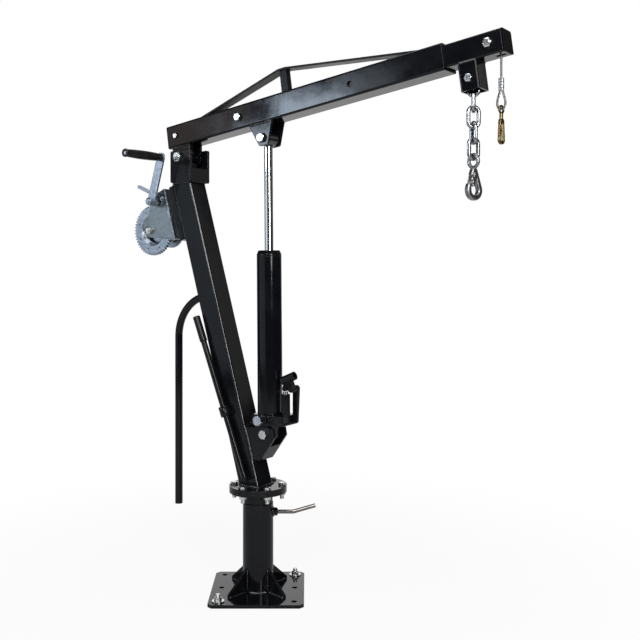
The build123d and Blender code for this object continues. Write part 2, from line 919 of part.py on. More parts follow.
# Inner boom, its tip and chain box
def inner_tube():
    half = inner_size / 2
    tube = square_tube(inner_size, inner_wall, inner_corner, inner_start, inner_end)
    tube -= rod_across(lock_hole / 2, -inner_size, inner_size, lock_station, 0)
    tube -= rod_across(tip_axle / 2 + hole_gap, -inner_size, inner_size, tip_sheave_station, 0)
    middle = exit_station
    slot = box_between((middle - tip_slot_length / 2, middle + tip_slot_length / 2),
                       (-cable_slot / 2, cable_slot / 2), (-half - through_cut, -half + 2 * inner_wall))
    return boom_frame * (tube - slot)


def tip_plug():
    bore = inner_size - 2 * inner_wall - 2 * loose_gap
    cap = extrude(RectangleRounded(inner_size, inner_size, inner_corner), plug_thickness)
    corner = max(inner_corner - inner_wall, least_corner)
    stem = extrude(RectangleRounded(bore, bore, corner), -plug_depth)
    hollow = extrude(RectangleRounded(bore - 2 * plug_wall, bore - 2 * plug_wall, corner), -plug_depth)
    return boom_frame * Pos(inner_end, 0, 0) * Rot(0, 90, 0) * (cap + (stem - hollow))


def chain_box():
    """A short tube square to the boom, open below, for the end of the chain."""
    top = -inner_size / 2
    tube = square_tube(inner_size, chain_box_wall, inner_corner, 0, chain_box_drop, chain_box_length)
    tube = Pos(chain_box_station, 0, top) * Rot(0, 90, 0) * tube
    return boom_frame * (tube - rod_across(chain_bolt / 2 + hole_gap, -inner_size, inner_size,
                                           chain_box_station, -chain_bolt_below))


def tip_bolts():
    """The tip sheave's axle and spacers, and the bolt that the chain hangs on."""
    half = inner_size / 2
    pieces = bolt_across(tip_axle, -half, half, tip_sheave_station, 0, head_near=False)
    spacer_low = sheave_width / 2 + loose_gap
    for low, high in ((-half + inner_wall, -spacer_low), (spacer_low, half - inner_wall)):
        pieces.append(spacer(tip_axle, low, high, tip_sheave_station, 0))
    pieces += bolt_across(chain_bolt, -half, half, chain_box_station, -chain_bolt_below)
    return [boom_frame * piece for piece in pieces]


def tip_cable():
    """The cable from the join inside the boom, over the tip sheave and down to the exit slot."""
    over = CenterArc((tip_sheave_station, 0), sheave_pitch_radius, 90, -90 - boom_pitch)
    run = Line((cable_split_station + loose_gap, sheave_pitch_radius), over @ 0)
    down = Line(over @ 1, (exit_station, tip_floor))
    return boom_frame * tube_along(Plane.XZ * (run + over + down), cable_diameter)


def cable_end():
    """The hanging cable and, under the ferrule, the loop that it is turned back into."""
    hang = Line((cable_exit_x, 0, cable_exit_z - cable_end_gap), (cable_exit_x, 0, ferrule_top))
    half = cable_diameter / 2 + loose_gap
    reach = hypot(loop_drop, half)
    lean = acos(loop_radius / reach) + atan2(half, loop_drop)
    touch = degrees(pi / 2 - lean)
    bottom = CenterArc((0, -loop_drop), loop_radius, touch, -180 - 2 * touch)
    left_leg = Line(bottom @ 1, (-half, 0))
    right_leg = Line((half, 0), bottom @ 0)
    loop = tube_along(Plane.XZ * (right_leg + bottom + left_leg), cable_diameter)
    loop -= box_between((-ferrule_width, ferrule_width), (-ferrule_width, ferrule_width), (0, ferrule_length))
    return [tube_along(hang, cable_diameter), Pos(cable_exit_x, 0, ferrule_low) * loop]


def cable_ferrule():
    """The pressed sleeve, oval in plan."""
    outline = SlotOverall(ferrule_width, ferrule_depth)
    blank = extrude(outline, ferrule_length)
    rims = blank.faces().sort_by(Axis.Z)
    solid = chamfer(rims[0].edges() + rims[-1].edges(), ferrule_chamfer)
    return Pos(cable_exit_x, 0, ferrule_low) * solid


# Chain, load hook and snap hook
def link_yaw(number):
    """The turn of a link about the plumb line: every other link stands across its neighbours."""
    return min(link_twist * (number + 1), chain_twist) + 90 * (number % 2)


def chain_link(number):
    """One oval link of round bar."""
    straight = link_inner_length - (link_outer_width - 2 * link_wire)
    bottom, top = link_bend, link_bend + straight
    right = Line((link_bend, bottom), (link_bend, top))
    over = CenterArc((0, top), link_bend, 0, 180)
    left = Line((-link_bend, top), (-link_bend, bottom))
    under = CenterArc((0, bottom), link_bend, 180, 180)
    link = tube_along(Plane.XZ * (right + over + left + under), link_wire)
    return Pos(chain_top[0], 0, link_lows[number]) * Rot(0, 0, link_yaw(number)) * link


def eye_ring(hole, bar):
    """A round eye standing in the x and z plane."""
    return Rot(90, 0, 0) * Torus(hole / 2 + bar / 2, bar / 2)


def band(*circles):
    """The outline that a band round the given circles (x, z, radius) would make."""
    middle_x = sum(x for x, _, _ in circles) / len(circles)
    middle_z = sum(z for _, z, _ in circles) / len(circles)
    edges = []
    for x, z, radius in circles:
        inward = degrees(atan2(middle_z - z, middle_x - x))
        edges += (Pos(x, z) * Rot(0, 0, inward) * Circle(radius)).edges()
    return make_hull(edges)


def soften(outline, radius):
    """Rounds an outline's corners, and leaves the places where a line runs smoothly into an arc."""
    corners = ShapeList()
    for vertex in outline.vertices():
        place = Vector(vertex)
        headings = []
        for edge in outline.edges():
            if (edge @ 0 - place).length < 1e-4:
                headings.append(edge % 0)
            elif (edge @ 1 - place).length < 1e-4:
                headings.append((edge % 1) * -1)
        if headings[0].dot(headings[1]) > -0.999:
            corners.append(vertex)
    return fillet(corners, radius)


def rounded_slab(outline, thickness, radius):
    """A flat forging: an outline made solid about y = 0, its edges rounded."""
    solid = slab(outline, -thickness / 2, thickness / 2)
    rims = solid.faces().filter_by(Axis.Y)
    return fillet(ShapeList(edge for rim in rims for edge in rim.edges()), radius)


hook_frame = Pos(chain_top[0], 0, hook_eye) * Rot(0, 0, hook_yaw)
hook_outer = hook_bowl + hook_section
bowl_level = hook_outer - hook_drop
neck_level = -hook_eye_hole / 2 - hook_eye_bar - hook_neck_radius / 2
latch_hinge = (latch_hinge_forward, neck_level - latch_hinge_drop)


def lifting_hook():
    """A forged hook: a round eye set across it, a broad back and a bowl, with its point on the -x side."""
    body = band((0, bowl_level, hook_outer), (0, neck_level, hook_neck_radius))
    throat_level = bowl_level + hook_throat_rise
    throat = band((0, bowl_level, hook_bowl), (-hook_throat_shift, throat_level, hook_throat_top))
    point = bowl_level + hook_point_rise
    mouth = Polygon(
        (-hook_throat_shift, point - hook_point_lap),
        (-2 * hook_outer, point + hook_point_bevel),
        (-2 * hook_outer, neck_level + hook_neck_radius),
        (-hook_throat_shift, throat_level + hook_throat_top - hook_mouth_lap),
        align=None,
    )
    solid = rounded_slab(soften(body - throat - mouth, hook_corner), hook_thickness, hook_round)
    solid += Rot(0, 0, hook_eye_turn) * eye_ring(hook_eye_hole, hook_eye_bar)
    pin_hole = rod_across(latch_pin / 2 + running_gap, -hook_thickness, hook_thickness, *latch_hinge)
    return hook_frame * (solid - pin_hole)


def hook_latch():
    """A sprung flap of folded sheet, riveted through the hook's neck, that shuts the mouth from inside."""
    inside = hook_thickness / 2 + loose_gap
    outside = inside + latch_sheet
    x, z = latch_hinge
    knee = (-hook_throat_shift - latch_knee_back, bowl_level + hook_throat_rise - latch_knee_drop, latch_knee)
    end = (-hook_bowl + latch_width / 2, bowl_level + hook_point_rise - latch_end_drop, latch_end)
    cheek = band((x, z, latch_width), knee)
    solid = slab(band(knee, end), -outside, outside)
    solid += slab(cheek, -outside, -inside) + slab(cheek, inside, outside)
    return hook_frame * (solid + rod_across(latch_pin / 2, -outside, outside, x, z))


snap_frame = Pos(cable_exit_x, 0, snap_eye) * Rot(0, 0, snap_yaw)
snap_low = snap_half_width - snap_drop
snap_high = -snap_eye_hole / 2 - snap_eye_bar - snap_neck - snap_shoulder
gate_hinge = (-snap_shoulder + snap_section / 2, snap_high - gate_hinge_drop)
gate_foot = (-snap_half_width + gate_foot_in, snap_low + gate_foot_rise)
gate_knee = gate_hinge[1] - gate_knee_drop


def snap_hook():
    """A flat snap hook with a swivelling eye; its gate is on the -x side."""
    body = band((0, snap_low, snap_half_width), (0, snap_high, snap_shoulder))
    inner = band((snap_bowl_shift, snap_low, snap_half_width - snap_section),
                 (snap_bowl_shift, snap_high - snap_bowl_top_drop, snap_bowl_top))
    mouth = box_between((-2 * snap_half_width, 0), (-snap_thickness, snap_thickness),
                        (gate_foot[1] - gate_width / 2 - loose_gap, gate_knee + gate_width / 2 + loose_gap))
    solid = rounded_slab(body - inner, snap_thickness, snap_round)
    solid -= mouth
    neck_low = snap_high + snap_shoulder - snap_neck_lap
    solid += rod_up(snap_neck / 2, neck_low, -snap_eye_hole / 2 - snap_eye_bar / 2)
    solid += eye_ring(snap_eye_hole, snap_eye_bar)
    slit = gate_tongue / 2 + loose_gap
    solid -= box_between((-2 * snap_half_width, snap_bowl_shift), (-slit, slit),
                         (gate_knee, gate_hinge[1] + gate_width / 2 + loose_gap))
    pin_hole = rod_across(gate_pin / 2 + running_gap, -snap_thickness, snap_thickness, *gate_hinge)
    return snap_frame * (solid - pin_hole)


def snap_gate():
    """The sprung gate, hung on a pin in a slit of the hook's shoulder."""
    knee = (gate_hinge[0] - gate_knee_back, gate_knee, gate_width / 2)
    bar = band(knee, (gate_foot[0], gate_foot[1], gate_width / 2))
    tongue = band((gate_hinge[0], gate_hinge[1], gate_width / 2), knee)
    solid = slab(bar, gate_inset - snap_thickness / 2, snap_thickness / 2 - gate_inset)
    solid += slab(tongue, -gate_tongue / 2, gate_tongue / 2)
    solid += rod_across(gate_pin / 2, -snap_thickness / 2, snap_thickness / 2, *gate_hinge)
    return snap_frame * solid


# Winch
winch_face = -mast_size / 2 - winch_mount_depth
winch_foot = winch_axle_up - winch_low
winch_crown = winch_axle_up + winch_high


def winch_bolt_places():
    """The four bolts through the winch's back plate, along the mast's forward direction."""
    places = []
    for across in (-winch_bolt_across / 2, winch_bolt_across / 2):
        for up in (winch_foot + winch_bolt_low, winch_foot + winch_bolt_high):
            places.append(mast_frame * Pos(winch_face - winch_plate, across, up) * Rot(0, 90, 0))
    return places


def winch_bolt_holes():
    hole = Cylinder(winch_bolt / 2 + hole_gap, 6 * winch_mount_wall)
    return [place * hole for place in winch_bolt_places()]


def winch_mount():
    """A channel on the back of the mast that carries the winch."""
    half = winch_mount_width / 2
    low, high = winch_foot - winch_mount_margin, winch_crown + winch_mount_margin
    block = box_between((winch_face, -mast_size / 2), (-half, half), (low, high))
    inside = half - winch_mount_wall
    hollow = box_between((winch_face + winch_mount_wall, 0), (-inside, inside),
                         (low - through_cut, high + through_cut))
    return mast_frame * (block - hollow) - winch_bolt_holes()


def winch_frame():
    """A folded plate: its back bolts to the mount and its sides carry the two shafts."""
    half = winch_width / 2
    back = winch_face - winch_plate
    side = make_hull([
        *(Pos(-winch_axle_back, winch_axle_up) * Circle(winch_nose)).edges(),
        *(Pos(-pinion_back, pinion_up) * Circle(winch_shoulder)).edges(),
        *Line((winch_face, winch_foot), (winch_face, winch_crown)).edges(),
    ])
    side -= Pos(-winch_axle_back, winch_axle_up) * Circle(winch_axle / 2 + hole_gap)
    side -= Pos(-pinion_back, pinion_up) * Circle(shaft_diameter / 2 + running_gap)
    solid = box_between((back, winch_face), (-half, half), (winch_foot, winch_crown))
    solid += slab(side, -half, -half + winch_plate) + slab(side, half - winch_plate, half)
    stud_end = plate_near - ratchet_offset - ratchet_width - pawl_pin_end
    stud = rod_across(pawl_pin / 2, stud_end, plate_near + winch_plate, *pawl_centre)
    return mast_frame * solid - winch_bolt_holes() + stud


def winch_fasteners():
    """The winch's axle with its nut and spacers, and the bolts through its back."""
    half = winch_width / 2
    pieces = bolt_across(winch_axle, -half, half, *winch_centre, head_near=False)
    inside = half - winch_plate
    for low, high in ((-inside, web_far - gear_dish_wall - loose_gap),
                      (drum_far + drum_flange_thickness + loose_gap, inside)):
        pieces.append(spacer(winch_axle, low, high, *winch_centre))
    for place in winch_bolt_places():
        pieces += [place * piece for piece in bolt(winch_bolt, winch_plate + winch_mount_wall)]
    return pieces


def involute(angle):
    return tan(angle) - angle


def gear_outline(teeth, phase):
    """A toothed outline: involute flanks, thinned for backlash, with a tooth at the given angle."""
    pitch = gear_module * teeth / 2
    base = pitch * cos(radians(pressure_angle))
    root = pitch - tooth_dedendum * gear_module
    tip = pitch + tooth_addendum * gear_module
    at_pitch = pi / (2 * teeth) - tooth_backlash / (2 * pitch) + involute(radians(pressure_angle))
    radii = sorted({root, max(root, base), pitch, tip})
    widths = [at_pitch - involute(acos(min(base / radius, 1))) for radius in radii]
    flank = list(zip(radii, widths))
    points = []
    for number in range(teeth):
        middle = radians(phase) + 2 * pi * number / teeth
        rising = [(radius, middle - width) for radius, width in flank]
        falling = [(radius, middle + width) for radius, width in reversed(flank)]
        points += [(radius * cos(angle), radius * sin(angle)) for radius, angle in rising + falling]
    return Polygon(*points, align=None)


mesh_bearing = pinion_bearing + mast_lean


def drum_gear():
    """The large gear: a toothed rim round a deep dish, whose floor is one side of the drum."""
    outline = gear_outline(gear_teeth, mesh_bearing)
    for place in PolarLocations(gear_hole_circle / 2, gear_hole_count, mesh_bearing):
        outline -= place * Circle(gear_hole / 2)
    dish = gear_dish_diameter / 2
    solid = Pos(winch_centre[0], 0, winch_centre[1]) * slab(outline, gear_near, gear_near + gear_width)
    solid += rod_across(dish, gear_near, web_far, *winch_centre)
    floor = web_far - gear_dish_wall
    solid -= rod_across(dish - gear_dish_wall, gear_near - through_cut, floor, *winch_centre)
    return solid - rod_across(winch_axle / 2 + running_gap, gear_near, web_far, *winch_centre)


def cable_drum():
    """The drum's core, hub and far flange."""
    core = drum_core / 2
    bore = winch_axle / 2 + running_gap
    end = drum_far + drum_flange_thickness
    outline = Polygon(
        (bore, web_far),
        (bore + drum_wall, web_far),
        (bore + drum_wall, drum_far),
        (core - drum_wall, drum_far),
        (core - drum_wall, web_far),
        (core, web_far),
        (core, drum_far),
        (drum_flange / 2, drum_far),
        (drum_flange / 2, end),
        (bore, end),
        align=None,
    )
    return Pos(winch_centre[0], 0, winch_centre[1]) * revolve(outline, Axis.Y)


def winding_place(turn):
    """A place on the winding, counted in turns from the far flange."""
    angle = rise_side - 2 * pi * (winding_turns - turn)
    return Vector(
        winch_centre[0] + winding_radius * cos(angle),
        winding_far - turn * winding_pitch,
        winch_centre[1] + winding_radius * sin(angle),
    )


def winding_heading(turn):
    angle = rise_side - 2 * pi * (winding_turns - turn)
    around = 2 * pi * winding_radius
    return Vector(-around * sin(angle), -winding_pitch, around * cos(angle)).normalized()


def arc_from(start, heading, end):
    """The arc that leaves start along heading and reaches end."""
    chord = end - start
    along = chord.normalized()
    bulge = heading - along * heading.dot(along)
    rise = chord.length / 2 * tan(acos(min(heading.dot(along), 1)) / 2)
    return ThreePointArc(start, (start + end) / 2 + bulge.normalized() * rise, end)


def biarc(start, heading_in, end, heading_out):
    """Two tangent arcs between two places with given headings."""
    span = end - start
    both = heading_in + heading_out
    spread = 2 * (1 - heading_in.dot(heading_out))
    reach = (sqrt(span.dot(both) ** 2 + spread * span.dot(span)) - span.dot(both)) / spread
    middle = (start + end + (heading_in - heading_out) * reach) / 2
    turn_in = (middle - start).normalized()
    heading = turn_in * (2 * turn_in.dot(heading_in)) - heading_in
    return [arc_from(start, heading_in, middle), arc_from(middle, heading, end)]


def cable_winding():
    """The outer layer of cable on the drum, one turn beside the other, with straight ends."""
    quarters = 4 * winding_turns
    first, last = winding_place(0), winding_place(winding_turns)
    edges = [Line(first - winding_heading(0) * cable_diameter, first)]
    for quarter in range(quarters):
        begin, end = quarter / 4, (quarter + 1) / 4
        edges += biarc(winding_place(begin), winding_heading(begin), winding_place(end), winding_heading(end))
    edges.append(Line(last, last + winding_heading(winding_turns) * cable_diameter))
    path = Wire([edge.edge() for edge in edges])
    steps = 24
    places = [winding_place(step / steps) for step in range(steps * winding_turns + 1)]
    nearest = min(
        (here - there).length
        for number, here in enumerate(places)
        for there in places[number + steps // 2:]
    )
    print(f"winding: least gap between turns {nearest - cable_diameter:.2f} mm")
    solid = tube_along(path, cable_diameter)
    share = solid.volume / (pi * cable_diameter ** 2 / 4 * path.length)
    print(f"winding: volume over section times length {share:.4f}")
    return solid


shaft_near = crank_near - crank_bar_thickness - hexagon_sizes(shaft_diameter)[2] - thread_end


def pinion_shaft():
    """The driving shaft with its pinion; the ratchet wheel and the crank's nut sit on it."""
    outline = gear_outline(pinion_teeth, mesh_bearing + 180 + 180 / pinion_teeth)
    low = gear_near - (pinion_width - gear_width) / 2
    solid = Pos(pinion_centre[0], 0, pinion_centre[1]) * slab(outline, low, low + pinion_width)
    solid += rod_across(shaft_diameter / 2, shaft_near, winch_width / 2 + thread_end, *pinion_centre)
    points = []
    for number in range(ratchet_teeth):
        angle = 2 * pi * number / ratchet_teeth
        for radius in (ratchet_root / 2, ratchet_diameter / 2):
            points.append((radius * cos(angle), radius * sin(angle)))
    bore = shaft_diameter / 2 + running_gap
    wheel = Polygon(*points, align=None) - Circle(bore)
    wheel_far = plate_near - ratchet_offset
    across, _, nut_height = hexagon_sizes(shaft_diameter)
    nut_seat = crank_near - crank_bar_thickness
    nut = hexagon(across, nut_height) - Cylinder(bore, 4 * nut_height)
    return [
        solid,
        Pos(pinion_centre[0], 0, pinion_centre[1]) * slab(wheel, wheel_far - ratchet_width, wheel_far),
        Pos(pinion_centre[0], nut_seat, pinion_centre[1]) * Rot(90, 0, 0) * nut,
    ]


grip_near = crank_near - crank_bar_thickness - loose_gap - grip_length


def crank_arm():
    """A flat bar with a riveted pin for the grip."""
    radius = crank_bar_width / 2
    outline = band((*pinion_centre, radius), (*crank_tip, radius))
    outline -= Pos(*pinion_centre) * Circle(shaft_diameter / 2 + running_gap)
    solid = slab(outline, crank_near - crank_bar_thickness, crank_near)
    head = grip_near - loose_gap
    solid += rod_across(grip_pin / 2, head, crank_near, *crank_tip)
    return solid + rod_across(grip_pin_head / 2, head - grip_pin_head_height, head, *crank_tip)


def crank_grip():
    """A swelling grip that turns on the crank's pin."""
    bore = grip_pin / 2 + running_gap
    waist = grip_waist / 2
    sides = Polyline((waist, 0), (bore, 0), (bore, grip_length), (waist, grip_length))
    swell = ThreePointArc((waist, grip_length), (grip_swell / 2, grip_length / 2), (waist, 0))
    solid = revolve(make_face(sides + swell), Axis.Y)
    return Pos(crank_tip[0], grip_near, crank_tip[1]) * solid


def ratchet_pawl():
    """The pawl's lever, which lies just clear of the ratchet wheel."""
    tip = (pinion_centre[0] + pawl_tip[0], pinion_centre[1] + pawl_tip[1])
    outline = band((*pawl_centre, pawl_width / 2), (*tip, pawl_width / 2))
    outline += Pos(*pawl_centre) * Circle(pawl_boss / 2)
    outline -= Pos(*pawl_centre) * Circle(pawl_pin / 2 + running_gap)
    far = plate_near - ratchet_offset
    return slab(outline, far - ratchet_width, far)


# Ram and its hand pump, drawn along the ram from the pin at its foot
pump_top = ram_bottom + pump_height
lever_pin_up = pump_top + plunger_rise + loose_gap + lever_nose
lever_place = (lever_pin_forward, lever_pin_up)
socket_place = (lever_pin_forward - socket_back, lever_pin_up + socket_up)


def ram_cylinder():
    outer = ram_diameter / 2
    return ram_frame * (rod_up(outer, ram_bottom, ram_top) - rod_up(outer - ram_wall, ram_bottom, ram_top))


def ram_gland():
    """The screwed cap that guides the rod."""
    bore = rod_diameter / 2 + running_gap
    inside = ram_diameter / 2 - ram_wall - running_gap
    high = ram_top + gland_height
    outline = Polygon(
        (bore, ram_top - gland_spigot),
        (inside, ram_top - gland_spigot),
        (inside, ram_top),
        (ram_diameter / 2, ram_top),
        (ram_diameter / 2, ram_top + gland_height / 3),
        (gland_top_diameter / 2, high),
        (bore, high),
        align=None,
    )
    return ram_frame * revolve(Plane.XZ * outline, Axis.Z)


def ram_base():
    """The cast foot: a lug on the bolt, a flanged block and the pump's barrel."""
    half = ram_base_width / 2
    lug_half = foot_outside / 2 - foot_plate - loose_gap
    block_low = ram_base_low + ram_base_flange
    lug = make_hull([
        *Circle(ram_lug_radius).edges(),
        *Line((-ram_lug_radius, ram_base_low), (ram_lug_radius, ram_base_low)).edges(),
    ])
    lip = ram_flange_lip
    long = ram_base_back + ram_base_front
    middle = (ram_base_front - ram_base_back) / 2
    flange = RectangleRounded(long + 2 * lip, ram_base_width + 2 * lip, ram_flange_corner)
    block = RectangleRounded(long, ram_base_width, ram_block_corner)
    solid = slab(lug, -lug_half, lug_half)
    solid += Pos(middle, 0, ram_base_low) * extrude(flange, ram_base_flange)
    solid += Pos(middle, 0, block_low) * extrude(block, ram_bottom - block_low)
    solid += rod_up(pump_diameter / 2, block_low, pump_top, pump_forward)
    plunger_low = pump_top + plunger_rise - plunger_depth
    solid -= rod_up(plunger_diameter / 2 + running_gap, plunger_low - loose_gap, pump_top, pump_forward)
    solid -= rod_across(foot_bolt / 2 + running_gap, -lug_half, lug_half)
    solid -= rod_across(valve_stem / 2 + running_gap, -half, -half + valve_length, valve_forward, valve_up)
    return ram_frame * solid


def pump_link():
    """The post beside the pump, with the pin that the lever rocks on."""
    x, z = lever_place
    foot = ram_base_front
    low = ram_base_low + ram_base_flange
    outline = make_hull([
        *(Pos(x, z) * Circle(link_width / 2)).edges(),
        *Line((foot, low), (foot + link_foot, low)).edges(),
    ])
    solid = slab(outline, link_side, link_side + link_thickness)
    near = -lever_width / 2 - loose_gap
    solid += rod_across(lever_pin / 2, near, link_side, x, z)
    return ram_frame * (solid + rod_across(lever_pin_head / 2, near - lever_pin_head_height, near, x, z))


def pump_socket():
    """The rocking lever: a nose on the plunger, a boss on the pin and the socket for the handle."""
    x, z = lever_place
    half = lever_width / 2
    boss_bar = band((x, z, lever_boss), (*socket_place, lever_boss))
    nose_bar = band((pump_forward, z, lever_nose), (*socket_place, lever_nose))
    socket = Pos(socket_place[0], 0, socket_place[1]) * Rot(0, 90 - socket_tilt, 0)
    solid = slab(boss_bar, -half, half) + slab(nose_bar, -half, half)
    solid += socket * Cylinder(socket_diameter / 2, socket_length)
    solid += rod_across(lever_boss, 0, link_side - loose_gap, x, z)
    solid -= socket * Cylinder(socket_bore / 2, 2 * socket_length)
    return ram_frame * (solid - rod_across(lever_pin / 2 + running_gap, -half, link_side, x, z))


def pump_plunger():
    high = pump_top + plunger_rise
    return ram_frame * rod_up(plunger_diameter / 2, high - plunger_depth, high, pump_forward)


def release_valve():
    """The screw that lets the ram down: a stem in the foot and a fluted knob."""
    half = ram_base_width / 2
    far = -half - ram_flange_lip - loose_gap
    knob = Circle(valve_knob / 2)
    for place in PolarLocations(valve_knob / 2, valve_flutes):
        knob -= place * Circle(valve_flute / 2)
    solid = Pos(valve_forward, 0, valve_up) * slab(knob, far - valve_length, far)
    solid += rod_across(valve_stem / 2, far, -half + valve_length - valve_seat_gap, valve_forward, valve_up)
    return ram_frame * solid


def ram_rod():
    """The piston, its rod and the eye under the boom."""
    piston_low = ram_bottom + piston_above_bottom
    piston = ram_diameter / 2 - ram_wall - running_gap
    solid = rod_up(rod_diameter / 2, piston_low, ram_length)
    solid += rod_up(piston, piston_low, piston_low + piston_height)
    solid += rod_across(rod_eye_radius, -rod_eye_width / 2, rod_eye_width / 2, 0, ram_length)
    return ram_frame * (solid - rod_across(rod_eye_bore / 2, -rod_eye_width, rod_eye_width, 0, ram_length))


def write(name, shape, swung=True):
    """Writes one sub-part, swung about the post where it is part of the upper works."""
    solids = shape if isinstance(shape, list) else [shape]
    if swung:
        solids = [swing * solid for solid in solids]
    whole = solids[0] if len(solids) == 1 else Compound(children=solids)
    export_step(whole, f"parts/{name}.step")


def main():
    os.makedirs("parts", exist_ok=True)
    write("base_plate", base_plate(), swung=False)
    write("post_tube", post_tube(), swung=False)
    write("post_gussets", post_gussets(), swung=False)
    write("thrust_ring", thrust_ring(), swung=False)
    write("anchor_bolts", anchor_bolts(), swung=False)
    write("lock_screw", lock_screw(), swung=False)
    write("swivel_spigot", swivel_spigot())
    write("mast_flange", mast_flange())
    write("flange_bolts", flange_bolts())
    write("mast_tube", mast_tube())
    write("mast_head", mast_head())
    write("pivot_bolts", pivot_bolts())
    write("ram_foot_bracket", ram_foot_bracket())
    write("swing_handle", swing_handle())
    write("handle_clip", handle_clip())
    write("pump_handle", pump_handle())
    write("boom_tube", boom_tube())
    write("boom_lugs", boom_lugs())
    write("ram_ears", ram_ears())
    write("boom_truss", boom_truss())
    write("boom_bolts", boom_bolts())
    write("boom_cable", boom_cable())
    write("cable_rise", cable_rise())
    write("rear_sheave", sheave(rear_axle + 2 * running_gap, rear_sheave_station))
    write("inner_tube", inner_tube())
    write("tip_plug", tip_plug())
    write("chain_box", chain_box())
    write("tip_bolts", tip_bolts())
    write("tip_cable", tip_cable())
    write("tip_sheave", sheave(tip_axle + 2 * running_gap, tip_sheave_station))
    write("cable_end", cable_end())
    write("cable_ferrule", cable_ferrule())
    for number in range(link_count):
        write(f"chain_link_{number + 1}", chain_link(number))
    write("lifting_hook", lifting_hook())
    write("hook_latch", hook_latch())
    write("snap_hook", snap_hook())
    write("snap_gate", snap_gate())
    write("winch_mount", winch_mount())
    write("winch_frame", winch_frame())
    write("winch_fasteners", winch_fasteners())
    write("drum_gear", drum_gear())
    write("cable_drum", cable_drum())
    write("cable_winding", cable_winding())
    write("pinion_shaft", pinion_shaft())
    write("crank_arm", crank_arm())
    write("crank_grip", crank_grip())
    write("ratchet_pawl", ratchet_pawl())
    write("ram_cylinder", ram_cylinder())
    write("ram_gland", ram_gland())
    write("ram_base", ram_base())
    write("pump_link", pump_link())
    write("pump_socket", pump_socket())
    write("pump_plunger", pump_plunger())
    write("release_valve", release_valve())
    write("ram_rod", ram_rod())


if __name__ == "__main__":
    main()
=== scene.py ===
import json
from math import atan2, cos, pi, radians, sin

import bpy
import numpy as np
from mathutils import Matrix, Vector


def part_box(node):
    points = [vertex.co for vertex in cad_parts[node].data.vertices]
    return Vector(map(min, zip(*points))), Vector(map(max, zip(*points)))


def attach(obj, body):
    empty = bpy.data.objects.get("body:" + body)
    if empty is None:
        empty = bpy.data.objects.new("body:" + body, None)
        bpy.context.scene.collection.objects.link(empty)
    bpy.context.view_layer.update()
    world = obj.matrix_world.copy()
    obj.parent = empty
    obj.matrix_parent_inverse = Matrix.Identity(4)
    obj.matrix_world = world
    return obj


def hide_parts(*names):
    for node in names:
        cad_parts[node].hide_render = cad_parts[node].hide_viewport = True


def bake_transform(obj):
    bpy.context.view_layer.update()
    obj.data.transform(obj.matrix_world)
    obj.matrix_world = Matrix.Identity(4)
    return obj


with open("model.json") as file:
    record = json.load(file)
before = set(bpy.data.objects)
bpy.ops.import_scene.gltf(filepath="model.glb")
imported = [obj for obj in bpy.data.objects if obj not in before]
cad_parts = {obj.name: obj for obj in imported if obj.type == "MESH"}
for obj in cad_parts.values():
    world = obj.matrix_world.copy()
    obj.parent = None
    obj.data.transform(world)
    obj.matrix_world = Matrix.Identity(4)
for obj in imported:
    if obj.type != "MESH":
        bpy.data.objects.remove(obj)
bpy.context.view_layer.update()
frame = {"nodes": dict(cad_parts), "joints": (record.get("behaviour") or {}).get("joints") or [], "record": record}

nodes = frame["nodes"]
jointAt = {j["name"]: np.array(j["pos_m"], float) for j in frame["joints"] if "pos_m" in j}
jointAxis = {j["name"]: np.array(j["axis"], float) for j in frame["joints"]}

# The crane's own directions: it stands swung about its post
mm = 0.001
east = np.array((1.0, 0.0, 0.0))
north = np.array((0.0, 1.0, 0.0))
up = np.array((0.0, 0.0, 1.0))
across = jointAxis["drum_spin"]          # square to the boom, to the far side
forward = np.cross(across, up)           # along the boom, level
nearAndFar = ((-1, "Near"), (1, "Far"))

boom = {"pivotStation": 39.5, "pivotBelow": 59.5, "half": 30.0, "innerHalf": 25.0}
boomAlong = jointAxis["extension"]
boomUp = np.cross(boomAlong, across)

mast = {"footAhead": -7.5, "lean": radians(16.4), "half": 30.0}
mastAlong = cos(mast["lean"]) * up - sin(mast["lean"]) * forward
mastAhead = cos(mast["lean"]) * forward + sin(mast["lean"]) * up


def cranePoint(ahead, aside, height):    # a place from the post's axis, in millimetres
    return mm * (ahead * forward + aside * across + height * up)


def boomPoint(station, aside, height):   # a place on the boom, from its rear end and its middle line
    along = (station - boom["pivotStation"]) * boomAlong
    return jointAt["luff"] + mm * (along + aside * across + (height + boom["pivotBelow"]) * boomUp)


mastFoot = cranePoint(mast["footAhead"], 0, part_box("mast_flange")[1].z / mm)


def mastPoint(ahead, aside, height):     # a place on the leaning mast, from the middle of its foot
    return mastFoot + mm * (ahead * mastAhead + aside * across + height * mastAlong)


# Finishes: a value is a socket, and sums of values add Math nodes
class Value:
    def __init__(self, finish, socket):
        self.finish = finish
        self.socket = socket

    def sum(self, operation, other, swapped=False):
        pair = (other, self) if swapped else (self, other)
        return self.finish.node("ShaderNodeMath", {"operation": operation}, dict(enumerate(pair)))

    def __add__(self, other):
        return self.sum("ADD", other)

    def __sub__(self, other):
        return self.sum("SUBTRACT", other)

    def __rsub__(self, other):
        return self.sum("SUBTRACT", other, True)

    def __mul__(self, other):
        return self.sum("MULTIPLY", other)

    def __abs__(self):
        return self.finish.node("ShaderNodeMath", {"operation": "ABSOLUTE"}, {0: self})

    __radd__ = __add__
    __rmul__ = __mul__


